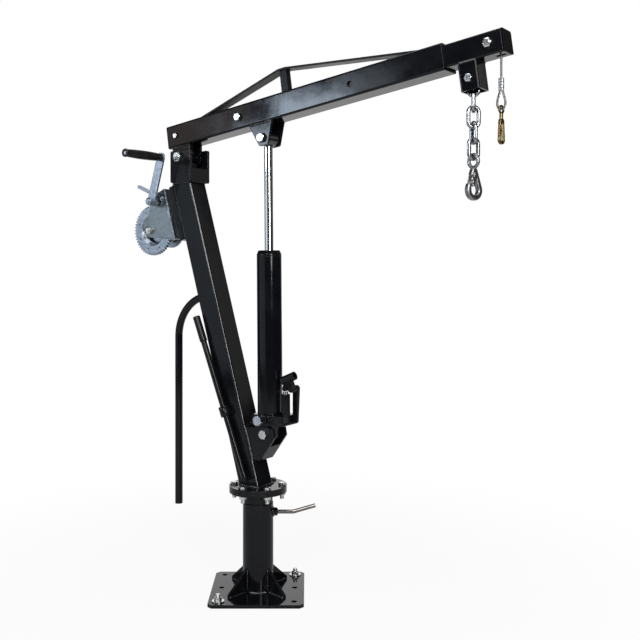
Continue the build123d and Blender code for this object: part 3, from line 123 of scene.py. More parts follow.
class Finish:
    def __init__(self, name, family=bpy.data.materials):       # a material, or the world
        self.owner = family.new(name)
        self.owner.use_nodes = True
        self.tree = self.owner.node_tree
        self.shader = self.tree.nodes.get("Principled BSDF")

    # Any node: its settings come first, then the values or links of its sockets
    def node(self, kind, settings, inputs, output=0):
        made = self.tree.nodes.new(kind)
        for key, setting in settings.items():
            setattr(made, key, setting)
        for key, given in inputs.items():
            self.feed(made.inputs[key], given)
        return Value(self, made.outputs[output])

    def feed(self, socket, given):
        if isinstance(given, Value):
            self.tree.links.new(given.socket, socket)
        else:
            socket.default_value = given

    def place(self, stretch=(1, 1, 1)):
        spot = self.node("ShaderNodeTexCoord", {}, {}, "Object")
        return self.node("ShaderNodeMapping", {}, {"Vector": spot, "Scale": stretch})

    def part(self, vector, axis):                              # the X, Y or Z of a vector
        return self.node("ShaderNodeSeparateXYZ", {}, {0: vector}, axis)

    def ray(self, kind):                                       # 1 on rays of one kind, 0 on others
        return self.node("ShaderNodeLightPath", {}, {}, f"Is {kind} Ray")

    def noise(self, size, detail, stretch=(1, 1, 1)):          # size is the grain in metres
        inputs = {"Vector": self.place(stretch), "Scale": 1 / size, "Detail": detail}
        return self.node("ShaderNodeTexNoise", {}, inputs)

    def cells(self, size):
        return self.node("ShaderNodeTexVoronoi", {}, {"Vector": self.place(), "Scale": 1 / size}, "Color")

    def ramp(self, value, low, high):                          # 0 below low, 1 above high
        return self.node("ShaderNodeMapRange", {"interpolation_type": "SMOOTHSTEP"},
                         {"Value": value, "From Min": low, "From Max": high})

    def patches(self, size, detail, low, high):                # noise cut to soft-edged patches
        return self.ramp(self.noise(size, detail), low, high)

    def between(self, mask, limits):                           # the first limit at 0, the second at 1
        first, second = limits
        return first + (second - first) * mask

    def tint(self, mask, first, second):
        return self.node("ShaderNodeMix", {"data_type": "RGBA"}, {0: mask, 6: first, 7: second}, 2)

    def bump(self, height, below=None, *, strength, distance):
        inputs = {"Height": height, "Strength": strength, "Distance": distance}
        if below:
            inputs["Normal"] = below
        return self.node("ShaderNodeBump", {}, inputs)

    def rounded(self, radius):                                 # soft edges, as paint and plating leave them
        return self.node("ShaderNodeBevel", {"samples": 6}, {"Radius": radius})

    def give(self, **sockets):
        names = {"colour": "Base Color", "rough": "Roughness", "metal": "Metallic", "normal": "Normal",
                 "shine": "Specular IOR Level", "coat": "Coat Weight", "coatRough": "Coat Roughness"}
        for key, given in sockets.items():
            self.feed(self.shader.inputs[names[key]], given)
        return self.owner


# Gloss black powder coat: a fine orange peel, slow ripples and a little dust in its gloss
paint = {
    "colour": (0.0028, 0.0030, 0.0040, 1), "dusty": (0.0048, 0.0052, 0.0062, 1),
    "rough": (0.08, 0.16), "shine": 0.21, "edge": 0.0022,
    "cloud": dict(size=0.06, detail=4, low=0.35, high=0.75),
    "ripple": dict(size=0.03, detail=1), "rippleBump": dict(strength=0.03, distance=0.004),
    "peel": dict(size=0.0022, detail=1), "peelBump": dict(strength=0.008, distance=0.0004),
}
# It lies thick on the mast's long corners, soft on the head's, wet on the welds and dull on the truss
mastPaint = {**paint, "edge": 0.003, "corner": dict(low=0.0252, high=0.0272), "cornerRough": 0.06}
headPaint = {**paint, "edge": 0.004}
weldPaint = {**paint, "edge": 0.0005, "shine": 0.85}
trussPaint = {**paint, "rough": (0.36, 0.46)}


def cornerMask(f, corner):
    # Far from both middle planes of the mast: the ramp of |p . ahead| times the ramp of |p . across|
    masks = []
    for direction in (mastAhead, across):
        reach = f.node("ShaderNodeVectorMath", {"operation": "DOT_PRODUCT"},
                       {0: f.place(), 1: tuple(direction)}, "Value")
        masks.append(f.ramp(abs(reach - float(mastFoot @ direction)), **corner))
    return masks[0] * masks[1]


def blackPaint(name, look):
    f = Finish(name)
    if "corner" in look:
        f.give(coat=cornerMask(f, look["corner"]), coatRough=look["cornerRough"])
    cloud = f.patches(**look["cloud"])
    soft = f.bump(f.noise(**look["ripple"]), f.rounded(look["edge"]), **look["rippleBump"])
    return f.give(colour=f.tint(cloud, look["colour"], look["dusty"]), rough=f.between(cloud, look["rough"]),
                  shine=look["shine"], normal=f.bump(f.noise(**look["peel"]), soft, **look["peelBump"]))


# Bright zinc on bolts, nuts and pins: a pale plate with faint clouds and fine handling marks
zinc = {
    "colour": (0.68, 0.69, 0.70, 1), "cloudy": (0.50, 0.50, 0.47, 1), "rough": (0.16, 0.32), "edge": 0.0005,
    "cloud": dict(size=0.007, detail=3, low=0.3, high=0.7),
    "marks": dict(size=0.0012, detail=4), "marksBump": dict(strength=0.08, distance=0.0002),
}
knobZinc = {**zinc, "colour": (0.60, 0.64, 0.70, 1), "cloudy": (0.40, 0.42, 0.48, 1), "rough": (0.06, 0.16),
            "edge": 0.0008}
dullZinc = {**zinc, "colour": (0.27, 0.255, 0.235, 1), "cloudy": (0.16, 0.15, 0.14, 1), "rough": (0.14, 0.26)}


def brightZinc(name, look):
    f = Finish(name)
    cloud = f.patches(**look["cloud"])
    marks = f.noise(**look["marks"])
    return f.give(colour=f.tint(cloud, look["colour"], look["cloudy"]), metal=1.0,
                  rough=f.between(marks, look["rough"]),
                  normal=f.bump(marks, f.rounded(look["edge"]), **look["marksBump"]))


# Zinc-plated winch sheet: faint spangles, rolled grain and a dull shine, darker on the frame
sheet = {
    "colour": (0.27, 0.31, 0.36, 1), "spangle": (0.37, 0.41, 0.46, 1), "rough": (0.24, 0.36), "edge": 0.0018,
    "cell": 0.006, "grain": dict(size=0.0009, detail=3, stretch=(1, 1, 0.15)),
    "grainBump": dict(strength=0.06, distance=0.0002),
}
frameSheet = {**sheet, "colour": (0.17, 0.195, 0.205, 1), "spangle": (0.23, 0.255, 0.265, 1),
              "rough": (0.28, 0.42)}


def platedSheet(name, look):
    f = Finish(name)
    spangle = f.node("ShaderNodeSeparateColor", {}, {0: f.cells(look["cell"])})
    grain = f.noise(**look["grain"])
    return f.give(colour=f.tint(spangle, look["colour"], look["spangle"]), metal=1.0,
                  rough=f.between(spangle * 0.5 + grain * 0.5, look["rough"]),
                  normal=f.bump(grain, f.rounded(look["edge"]), **look["grainBump"]))


# Drawn steel wire: dull zinc with darker oil in its grooves
wire = {
    "colour": (0.24, 0.24, 0.24, 1), "oily": (0.09, 0.088, 0.085, 1), "rough": (0.28, 0.45),
    "oil": dict(size=0.004, detail=4, low=0.45, high=0.75),
}


def steelWire():
    f = Finish("steelWire")
    oil = f.patches(**wire["oil"])
    return f.give(colour=f.tint(oil, wire["colour"], wire["oily"]), metal=1.0,
                  rough=f.between(oil, wire["rough"]))


# Pressed aluminium sleeve with the marks of the press tool
sleeve = {
    "colour": (0.42, 0.42, 0.43, 1), "mark": (0.20, 0.20, 0.20, 1), "rough": (0.45, 0.25), "edge": 0.0005,
    "pitch": 0.0062, "waveAtOne": 0.314, "press": dict(low=0.0, high=0.3), "clean": (0.6, 1.0),
    "marks": dict(size=0.0015, detail=3), "pressBump": dict(strength=0.35, distance=0.0006),
}


def pressedSleeve():
    f = Finish("pressedSleeve")
    scale = sleeve["waveAtOne"] / sleeve["pitch"]              # at a scale of 1 a wave is 0.314 m long
    bands = f.node("ShaderNodeTexWave", {"bands_direction": "Z"}, {"Vector": f.place(), "Scale": scale})
    press = f.ramp(bands, **sleeve["press"])
    marks = f.noise(**sleeve["marks"])
    clean = press * f.between(marks, sleeve["clean"])
    return f.give(colour=f.tint(clean, sleeve["mark"], sleeve["colour"]), metal=1.0,
                  rough=f.between(marks, sleeve["rough"]),
                  normal=f.bump(press, f.rounded(sleeve["edge"]), **sleeve["pressBump"]))


# Ground and chromed rod: rings of the finest grinding along the ram, and a black eye at its top
rod = {
    "colour": (0.80, 0.81, 0.82, 1), "filmed": (0.70, 0.70, 0.68, 1), "rough": (0.05, 0.10), "edge": 0.0004,
    "eye": 0.039, "eyeBlur": 0.0005, "film": dict(size=0.04, detail=3, low=0.4, high=0.8),
    "rings": dict(size=0.003, detail=3, stretch=(0.2, 0.2, 6)),
    "ringsBump": dict(strength=0.02, distance=0.0001),
}


def chromedRod():
    f = Finish("chromedRod")
    rings = f.noise(**rod["rings"])
    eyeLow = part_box("ram_rod")[1].z - rod["eye"]
    eye = f.ramp(f.part(f.place(), "Z"), eyeLow - rod["eyeBlur"], eyeLow + rod["eyeBlur"])
    bright = f.tint(f.patches(**rod["film"]), rod["colour"], rod["filmed"])
    return f.give(colour=f.tint(eye, bright, paint["dusty"]), metal=1 - eye,
                  rough=f.between(rings, rod["rough"]),
                  normal=f.bump(rings, f.rounded(rod["edge"]), **rod["ringsBump"]))


# Plated chain: bright, with the uneven skin of bent and welded bar
chainSteel = {
    "colour": (0.31, 0.315, 0.32, 1), "dulled": (0.15, 0.15, 0.155, 1), "rough": (0.14, 0.30),
    "dull": dict(size=0.008, detail=4, low=0.4, high=0.75),
    "skin": dict(size=0.0028, detail=3), "skinBump": dict(strength=0.12, distance=0.0004),
}


def platedChain():
    f = Finish("platedChain")
    dull = f.patches(**chainSteel["dull"])
    return f.give(colour=f.tint(dull, chainSteel["colour"], chainSteel["dulled"]), metal=1.0,
                  rough=f.between(dull, chainSteel["rough"]),
                  normal=f.bump(f.noise(**chainSteel["skin"]), **chainSteel["skinBump"]))


# Forged hook: a darker grey, grainy skin
forging = {
    "colour": (0.30, 0.30, 0.31, 1), "dulled": (0.19, 0.19, 0.19, 1), "rough": (0.28, 0.44), "edge": 0.0006,
    "dull": dict(size=0.01, detail=4, low=0.35, high=0.7),
    "skin": dict(size=0.0022, detail=4), "skinBump": dict(strength=0.18, distance=0.0005),
}


def forgedSteel():
    f = Finish("forgedSteel")
    dull = f.patches(**forging["dull"])
    skin = f.noise(**forging["skin"])
    return f.give(colour=f.tint(dull, forging["colour"], forging["dulled"]), metal=1.0,
                  rough=f.between(skin, forging["rough"]),
                  normal=f.bump(skin, f.rounded(forging["edge"]), **forging["skinBump"]))


# Yellow passivated zinc: gold that drifts to olive and copper, redder on the sprung gate
yellow = {
    "gold": (0.16, 0.12, 0.05, 1), "olive": (0.07, 0.065, 0.025, 1), "copper": (0.15, 0.07, 0.04, 1),
    "rough": (0.14, 0.34), "edge": 0.0005,
    "drift": dict(size=0.009, detail=3), "toOlive": dict(low=0.45, high=0.65),
    "blush": dict(size=0.006, detail=2, low=0.55, high=0.75),
    "driftBump": dict(strength=0.05, distance=0.0003),
}
gateTint = {**yellow, "gold": (0.30, 0.13, 0.06, 1), "olive": (0.14, 0.07, 0.04, 1),
            "copper": (0.34, 0.08, 0.04, 1)}


def yellowZinc(name, look):
    f = Finish(name)
    drift = f.noise(**look["drift"])
    first = f.tint(f.ramp(drift, **look["toOlive"]), look["gold"], look["olive"])
    return f.give(colour=f.tint(f.patches(**look["blush"]), first, look["copper"]), metal=1.0,
                  rough=f.between(drift, look["rough"]),
                  normal=f.bump(drift, f.rounded(look["edge"]), **look["driftBump"]))


# Black moulded plastic with a fine spark-eroded grain, darker and duller on the boom's plug
plastic = {
    "colour": (0.005, 0.005, 0.0055, 1), "worn": (0.010, 0.010, 0.0105, 1), "rough": (0.30, 0.44),
    "shine": 0.3, "edge": 0.001, "wear": dict(size=0.02, detail=3, low=0.4, high=0.8),
    "grain": dict(size=0.0009, detail=2), "grainBump": dict(strength=0.12, distance=0.0002),
}
plugPlastic = {**plastic, "colour": (0.002, 0.002, 0.0022, 1), "worn": (0.003, 0.003, 0.0033, 1),
               "shine": 0.03}


def mouldedPlastic(name, look):
    f = Finish(name)
    wear = f.patches(**look["wear"])
    return f.give(colour=f.tint(wear, look["colour"], look["worn"]), rough=f.between(wear, look["rough"]),
                  shine=look["shine"],
                  normal=f.bump(f.noise(**look["grain"]), f.rounded(look["edge"]), **look["grainBump"]))


finishes = {
    "black_paint": blackPaint("blackPaint", paint),
    "bright_zinc": brightZinc("brightZinc", zinc),
    "galvanised_steel": platedSheet("platedSheet", sheet),
    "wire_cable": steelWire(),
    "aluminium_ferrule": pressedSleeve(),
    "polished_rod": chromedRod(),
    "chain_steel": platedChain(),
    "yellow_zinc": yellowZinc("yellowZinc", yellow),
    "black_plastic": mouldedPlastic("mouldedPlastic", plastic),
}
ownFinish = {                            # nodes that look unlike the rest of their slot
    "lifting_hook": forgedSteel(),
    "hook_latch": finishes["bright_zinc"],
    "lock_screw": brightZinc("dullZinc", dullZinc),
    "snap_gate": yellowZinc("gateZinc", gateTint),
    "release_valve": brightZinc("knobZinc", knobZinc),
    "winch_frame": platedSheet("frameSheet", frameSheet),
    "mast_tube": blackPaint("mastPaint", mastPaint),
    "mast_head": blackPaint("headPaint", headPaint),
    "tip_plug": mouldedPlastic("plugPlastic", plugPlastic),
    "boom_truss": blackPaint("trussPaint", trussPaint),
}
weldSkin = blackPaint("weldPaint", weldPaint)
for subpart in frame["record"]["subparts"]:
    name = subpart["node"]
    nodes[name].data.materials.clear()
    nodes[name].data.materials.append(ownFinish.get(name, finishes[subpart["material_slot"]]))
print("finishes:", len(finishes), "slots, and", len(ownFinish), "nodes with a finish of their own")


# New pieces: grids of points worked out as whole arrays
def putMesh(name, body, slot, points, quads, ends=(), skin=None):
    mesh = bpy.data.meshes.new(name)
    mesh.from_pydata(points.reshape(-1, 3), [], [*quads.reshape(-1, 4).tolist(), *ends])
    mesh.polygons.foreach_set("use_smooth", np.ones(len(mesh.polygons), bool))
    mesh.update()
    piece = bpy.data.objects.new(name, mesh)
    bpy.context.scene.collection.objects.link(piece)
    mesh.materials.append(skin or finishes[slot])
    if body:
        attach(piece, body)
    return piece


def unit(vectors):
    return vectors / np.linalg.norm(vectors, axis=-1, keepdims=True)


def squareTo(tangent, reference):        # two directions square to a tangent and to each other
    side = unit(np.cross(tangent, reference))
    return side, np.cross(tangent, side)


def around(angle, one, two):             # a step of length 1 at an angle: cos * one + sin * two
    return np.cos(angle)[..., None] * one + np.sin(angle)[..., None] * two


def tubeGrid(lines, radii, sides, reference):
    # A ring of points round every point of every line: centre + radius * a step square to the line
    side, other = squareTo(unit(np.gradient(lines, axis=1)), reference)
    ring = around(2 * pi * np.arange(sides) / sides, side[:, :, None], other[:, :, None])
    return lines[:, :, None] + radii[..., None, None] * ring


def tubeFaces(lineCount, stepCount, sides):
    # Quads between neighbouring rings, and one flat end at each end of every line
    number = np.arange(lineCount * stepCount * sides).reshape(lineCount, stepCount, sides)
    beside = np.roll(number, -1, axis=2)
    quads = np.stack((number[:, :-1], beside[:, :-1], beside[:, 1:], number[:, 1:]), axis=-1)
    ends = [ring.tolist() for ring in number[:, -1]] + [ring[::-1].tolist() for ring in number[:, 0]]
    return quads, ends


def smoothRoute(points, stepsPerRun=8):
    # The line of a route: a NURBS spline whose control points are the route's own
    curve = bpy.data.curves.new("route", "CURVE")
    curve.dimensions = "3D"
    curve.resolution_u = stepsPerRun
    spline = curve.splines.new("NURBS")
    spline.points.add(len(points) - 1)
    spline.points.foreach_set("co", np.column_stack((points, np.ones(len(points)))).ravel())
    spline.order_u = 3
    spline.use_endpoint_u = True
    holder = bpy.data.objects.new("route", curve)
    mesh = bpy.data.meshes.new_from_object(holder)
    line = np.empty(3 * len(mesh.vertices))
    mesh.vertices.foreach_get("co", line)
    bpy.data.objects.remove(holder)
    bpy.data.curves.remove(curve)
    bpy.data.meshes.remove(mesh)
    return line.reshape(-1, 3)


def drawnOut(radius, step):              # a round's control points lie further out than its spline runs
    return radius / (0.75 + 0.25 * cos(step))


def evenly(points, step):                # the same line with points at even steps
    gaps = np.linalg.norm(np.diff(points, axis=0), axis=1)
    run = np.concatenate(((0.0,), np.cumsum(gaps)))
    count = max(int(round(run[-1] / step)), 2)
    at = np.linspace(0, run[-1], count + 1)
    return np.column_stack([np.interp(at, run, points[:, axis]) for axis in range(3)]), at


# Wire cable: six strands laid round a core of their own size, so it is six strand radii thick
cable = {"diameter": 5.0 * mm, "strands": 6, "lay": 0.034, "step": 0.0022, "sides": 7, "tilt": 1e-6}


def wireCable(name, body, line, node):
    # A strand's line: the cable's + two strand radii * a step square to it that turns once in each lay
    even, run = evenly(line, cable["step"])
    count = cable["strands"]
    strand = cable["diameter"] / 6
    side, other = squareTo(unit(np.gradient(even, axis=0)), across)
    turn = 2 * pi * (np.arange(count)[:, None] / count + run / cable["lay"])
    lines = np.concatenate((even + 2 * strand * around(turn, side, other), even[None]))
    radii = np.full(lines.shape[:2], strand)
    # The reference is tilted a hair, so that it never lies along a strand
    points = tubeGrid(lines, radii, cable["sides"], across + cable["tilt"])
    quads, ends = tubeFaces(*lines.shape[:2], cable["sides"])
    piece = putMesh(name, body, "wire_cable", points, quads, ends)
    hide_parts(node)
    return piece


# The hanging end: down from the boom's tip, through the sleeve, round the loop and back into the sleeve
hang = {"length": 0.180, "sleeveLength": 27.0, "drop": 49.0,
        "route": ((0, 74.4), (0, 50), (0, 30), (0.6, 22), (2.6, 12), (2.8, 0), (5.6, -9.5), (8.8, -20),
                  (9.3, -29), (6.6, -36), (0, -38.2), (-6.6, -36), (-9.3, -29), (-8.8, -20), (-5.6, -9.5),
                  (-2.8, 0), (-2.8, 9), (-2.8, 18))}
exitPoint = jointAt["cable_swing"]
sleeveLow = exitPoint - mm * (hang["drop"] + hang["sleeveLength"]) * up
hangRoute = np.array([sleeveLow + mm * (ahead * forward + height * up) for ahead, height in hang["route"]])
hangLine = smoothRoute(hangRoute)
hanging = wireCable("hangingCable", "cable_end", hangLine, "cable_end")

# The winding: turns side by side on the drum, as a helix about the winch's axle
winding = {"turns": 7, "pitch": 5.6, "radius": 29.6, "perTurn": 24, "far": 31.0, "stepsPerRun": 4}
sheaveRadius = 18.5
drumAxle = jointAt["drum_spin"]
rearSheave = jointAt["rear_sheave_spin"]
reach = rearSheave - drumAxle
bearing = atan2(reach @ up, reach @ forward)
leaving = bearing - np.arccos(mm * (winding["radius"] + sheaveRadius) / np.linalg.norm(reach))
stepAngle = 2 * pi / winding["perTurn"]
angle = leaving - 2 * pi * winding["turns"] + stepAngle * np.arange(winding["turns"] * winding["perTurn"] + 1)
aside = winding["far"] - winding["pitch"] * (angle - angle[0]) / (2 * pi)
coil = drumAxle + mm * (drawnOut(winding["radius"], stepAngle) * around(angle, forward, up)
                        + aside[:, None] * across)
wireCable("drumWinding", "winch_drum", smoothRoute(coil, winding["stepsPerRun"]), "cable_winding")

# The cable from the drum up to the rear sheave, and then inside the boom to its tip
rim = around(leaving, forward, up)
riseLow = drumAxle + mm * (winding["radius"] * rim + aside[-1] * across)
riseHigh = rearSheave - mm * sheaveRadius * rim
rise = wireCable("risingCable", None, np.linspace(riseLow, riseHigh, 3), "cable_rise")
(riseLow + riseHigh) / 2
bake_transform(rise)


def overSheave(centre, first, last, count=9):     # points round a sheave, from one bearing to another
    sweep = np.linspace(first, last, count)
    return centre + mm * drawnOut(sheaveRadius, sweep[1] - sweep[0]) * around(sweep, boomAlong, boomUp)


boomRun = {"split": 300.0, "gap": 0.3, "pitch": radians(8.0)}
rear = overSheave(rearSheave, leaving + pi - boomRun["pitch"], pi / 2)
rearLine = np.vstack((rear, boomPoint(boomRun["split"], 0, sheaveRadius)))
wireCable("boomCable", "boom", smoothRoute(rearLine), "boom_cable")
tip = overSheave(jointAt["tip_sheave_spin"], pi / 2, -boomRun["pitch"])
tipLine = np.vstack((boomPoint(boomRun["split"] + boomRun["gap"], 0, sheaveRadius), tip, exitPoint))
wireCable("tipCable", "boom_inner", smoothRoute(tipLine), "tip_cable")
print("cables: strands laid")

# Weld beads under the paint: a ridge with overlapping scallops, tapered at both ends of the seam
bead = {"radius": 2.6 * mm, "scallop": 3.2 * mm, "step": 0.7 * mm, "sides": 8, "least": 0.85, "swell": 0.25,
        "drift": 0.06, "driftRun": 7.1 * mm, "tip": 0.35, "circleSteps": 48}


def weldBead(name, body, seam, reference, size=1.0):
    # The radius along the seam: size * radius * (least + swell * |sin| + drift * a slow sin) * taper
    even, run = evenly(np.array(seam, float), bead["step"])
    scallops = bead["swell"] * np.abs(np.sin(pi * run / bead["scallop"]))
    wobble = bead["least"] + scallops + bead["drift"] * np.sin(run / bead["driftRun"])
    taper = np.clip(np.minimum(run, run[-1] - run) / (2 * bead["radius"]), bead["tip"], 1)
    radii = (size * bead["radius"] * wobble * taper)[None]
    points = tubeGrid(even[None], radii, bead["sides"], reference)
    quads, ends = tubeFaces(1, len(even), bead["sides"])
    return putMesh(name, body, "black_paint", points, quads, ends, weldSkin)


def circleSeam(centre, radius, one, two, first=0.0, last=360.0):     # a circle, or part of one
    sweep = np.linspace(radians(first), radians(last), bead["circleSteps"])
    return centre + mm * radius * around(sweep, one, two)


# Round the post's foot between its gussets, and along both sides of each gusset
post = {"radius": 38.0, "seamOut": 1.0, "seamGap": 2.0, "seamSize": 1.35}
gusset = {"count": 4, "turn": 45.0, "half": 3.0, "foot": (40.0, 97.0), "rise": (2.0, 55.0), "riseSize": 0.9}
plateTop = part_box("base_plate")[1].z / mm
gapAngle = np.degrees(np.arcsin((gusset["half"] + post["seamGap"]) / post["radius"]))
share = 360 / gusset["count"]
for number in range(gusset["count"]):
    turn = gusset["turn"] + share * number
    ring = circleSeam(mm * plateTop * up, post["radius"] + post["seamOut"], east, north,
                      turn + gapAngle, turn + share - gapAngle)
    weldBead(f"postWeld{number + 1}", "base", ring, up, post["seamSize"])
    outward = around(radians(turn), east, north)
    sideways = np.cross(up, outward)
    for sign, letter in ((-1, "a"), (1, "b")):
        edge = mm * (sign * gusset["half"] * sideways + plateTop * up)
        foot = [edge + mm * out * outward for out in gusset["foot"]]
        weldBead(f"gussetFootWeld{number + 1}{letter}", "base", foot, up)
        rising = [edge + mm * (post["radius"] * outward + lift * up) for lift in gusset["rise"]]
        weldBead(f"gussetPostWeld{number + 1}{letter}", "base", rising, outward, gusset["riseSize"])

# Round the spigot's neck, and round the mast's square foot, which its lean draws out
neck = {"flange": 8.0, "radius": 37.0}
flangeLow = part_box("swivel_spigot")[1].z / mm - neck["flange"]
weldBead("neckWeld", "upper_works", circleSeam(mm * flangeLow * up, neck["radius"], east, north), up)
mastSeam = {"size": 1.3, "corners": ((-1, -1), (1, -1), (1, 1), (-1, 1), (-1, -1))}
longHalf = mast["half"] / cos(mast["lean"])
square = [mastFoot + mm * (ahead * longHalf * forward + aside * mast["half"] * across)
          for ahead, aside in mastSeam["corners"]]
weldBead("mastFootWeld", "upper_works", square, up, mastSeam["size"])

# Straight seams on both sides of the crane: each runs between two places, given ahead and in height
seams = {
    "earWeld": {"body": "boom", "place": boomPoint, "aside": 27.0, "size": 1.2,
                "ends": ((272.5, -boom["half"]), (343.5, -boom["half"]))},
    "lugWeld": {"body": "boom", "place": boomPoint, "aside": 25.0, "size": 1.0,
                "ends": ((9.5, -boom["half"]), (69.5, -boom["half"]))},
    "footBracketWeld": {"body": "upper_works", "place": mastPoint, "aside": 26.0, "size": 1.2,
                        "ends": ((mast["half"], 58.0), (mast["half"], 142.0))},
    "winchMountWeld": {"body": "upper_works", "place": mastPoint, "aside": 25.0, "size": 1.0,
                       "ends": ((-mast["half"], 653.0), (-mast["half"], 797.0))},
    "chainBoxWeld": {"body": "boom_inner", "place": boomPoint, "aside": 25.0, "size": 1.0,
                     "ends": ((841.0, -boom["innerHalf"]), (885.0, -boom["innerHalf"]))},
    "kingWeld": {"body": "boom", "place": boomPoint, "aside": 10.0, "size": 1.0,
                 "ends": ((370.0, boom["half"]), (390.0, boom["half"]))},
    "headWeld": {"body": "upper_works", "place": cranePoint, "aside": 31.0, "size": 0.9,
                 "ends": ((-262.0, 1028.4), (-202.0, 1028.4))},
}
for sign, side in nearAndFar:
    for name, seam in seams.items():
        line = [seam["place"](ahead, sign * seam["aside"], height) for ahead, height in seam["ends"]]
        weldBead(f"{name}{side}", seam["body"], line, across, seam["size"])

# Across the boom at the ends of the truss's straps
strap = {"half": 14.0, "stations": {"Rear": 112.0, "Front": 747.0}}
for end, station in strap["stations"].items():
    line = [boomPoint(station, aside, boom["half"]) for aside in (-strap["half"], strap["half"])]
    weldBead(f"strapWeld{end}", "boom", line, boomAlong)

# Round the swing handle's collar and the lock screw's nut
collar = {"height": 494.6, "radius": 13.8}
collarMiddle = mastPoint(-mast["half"], 0, collar["height"])
ring = circleSeam(collarMiddle, collar["radius"], across, mastAlong)
weldBead("collarWeld", "upper_works", ring, mastAhead)
lockNut = {"out": 37.6, "radius": 10.4, "size": 0.9}
nutMiddle = mm * lockNut["out"] * east + (jointAt["lock_turn"] @ up) * up
ring = circleSeam(nutMiddle, lockNut["radius"], north, up)
weldBead("lockNutWeld", "base", ring, east, lockNut["size"])
print("welds: beads run")

# Threads on the bare ends of studs and bolts: a ridge that climbs one pitch in every turn
thread = {"pitch": 1.5, "ridge": 0.55, "steps": 18, "sides": 5}


def threadOn(name, body, foot, radius, length):
    turns = length / thread["pitch"]
    climb = np.linspace(0, 1, int(turns * thread["steps"]))
    line = foot + mm * (radius * around(2 * pi * turns * climb, east, north) + length * climb[:, None] * up)
    radii = np.full((1, len(line)), mm * thread["ridge"])
    points = tubeGrid(line[None], radii, thread["sides"], up)
    quads, ends = tubeFaces(1, len(line), thread["sides"])
    return putMesh(name, body, "bright_zinc", points, quads, ends)


studs = {"aside": 91.0, "from": 19.9, "length": 5.4, "radius": 4.9}
for number, sign in enumerate((-1, 1), 1):
    foot = mm * (sign * studs["aside"] * (east + north) + studs["from"] * up)
    threadOn(f"studThread{number}", "base", foot, studs["radius"], studs["length"])
flange = {"circle": 60.0, "count": 6, "from": 232.8, "length": 7.8, "radius": 4.9, "turn": -5.0}
for number in range(flange["count"]):
    outward = around(radians(flange["turn"] + 360 / flange["count"] * number), east, north)
    foot = mm * (flange["circle"] * outward + flange["from"] * up)
    threadOn(f"flangeThread{number + 1}", "upper_works", foot, flange["radius"], flange["length"])
print("threads: cut")


# Turned pieces: a closed profile of (radius, height) pairs in millimetres, carried round an axis
def turned(name, body, slot, foot, axis, profile, sides, flat=None):
    radius, height = np.array(profile).T
    ring = around(2 * pi * np.arange(sides) / sides, *squareTo(axis, up))
    spread = np.repeat(radius[:, None], sides, axis=1)
    if flat:                             # cut off square where it would pass a face: radius <= reach / lean
        toward, reach = flat
        lean = ring @ toward
        leastLean = 0.05                 # the rest of the ring can't reach the face
        spread = np.minimum(spread, np.where(lean > leastLean, reach / np.maximum(lean, leastLean), np.inf))
    points = foot + mm * (height[:, None, None] * axis + spread[..., None] * ring)
    number = np.arange(spread.size).reshape(spread.shape)
    above = np.roll(number, -1, axis=0)
    quads = np.stack((number, np.roll(number, -1, axis=1), np.roll(above, -1, axis=1), above), axis=-1)
    return putMesh(name, body, slot, points, quads)


def onMiddlePlane(point):                # the same place, moved across to the crane's middle plane
    return point - (point @ across) * across


# The clip's collar round the stored handle, flat where it meets the mast
clip = {"handleFoot": (-10.5, -40.5, 287.0), "station": 172.0, "half": 13.0, "bore": 8.1, "outer": 12.6,
        "bevel": 1.0, "toMast": 10.4, "sides": 48}
handleUp = jointAxis["handle_draw"] * np.sign(jointAxis["handle_draw"] @ up)
clipMiddle = cranePoint(*clip["handleFoot"]) + mm * clip["station"] * handleUp
clipProfile = [
    (clip["outer"] - clip["bevel"], -clip["half"]),
    (clip["outer"], clip["bevel"] - clip["half"]),
    (clip["outer"], clip["half"] - clip["bevel"]),
    (clip["outer"] - clip["bevel"], clip["half"]),
    (clip["bore"], clip["half"]),
    (clip["bore"], -clip["half"]),
]
turned("clipCollar", "upper_works", "black_paint", clipMiddle, handleUp, clipProfile, clip["sides"],
       flat=(across, clip["toMast"]))

# The drum gear's dish: its pressed wall runs in half a cosine wave from the face to the floor
dish = {"rim": 41.4, "lip": 0.3, "face": 37.9, "floor": 24.6, "inset": 8.5, "steps": 13, "sides": 96}
ease = np.linspace(0, 1, dish["steps"])
dishWall = np.column_stack((dish["rim"] - dish["lip"] - dish["inset"] * (0.5 - 0.5 * np.cos(pi * ease)),
                            dish["face"] + (dish["floor"] - dish["face"]) * ease))
dishProfile = [(dish["rim"], dish["floor"]), (dish["rim"], dish["face"]), *dishWall.tolist()]
turned("dishWall", "winch_drum", "galvanised_steel", onMiddlePlane(drumAxle), -across, dishProfile,
       dish["sides"])

# The folds of the winch's frame: a round of bent plate up each corner of its back
fold = {"ahead": -50.0, "aside": 45.0, "radius": 5.0, "inset": 4.4, "ends": (656.5, 793.5), "sides": 24}
for sign, side in nearAndFar:
    line = np.array([mastPoint(fold["ahead"] - fold["inset"], sign * (fold["aside"] - fold["inset"]), height)
                     for height in fold["ends"]])
    points = tubeGrid(line[None], np.full((1, 2), mm * fold["radius"]), fold["sides"], across)
    putMesh(f"frameFold{side}", "upper_works", "galvanised_steel", points, *tubeFaces(1, 2, fold["sides"]))

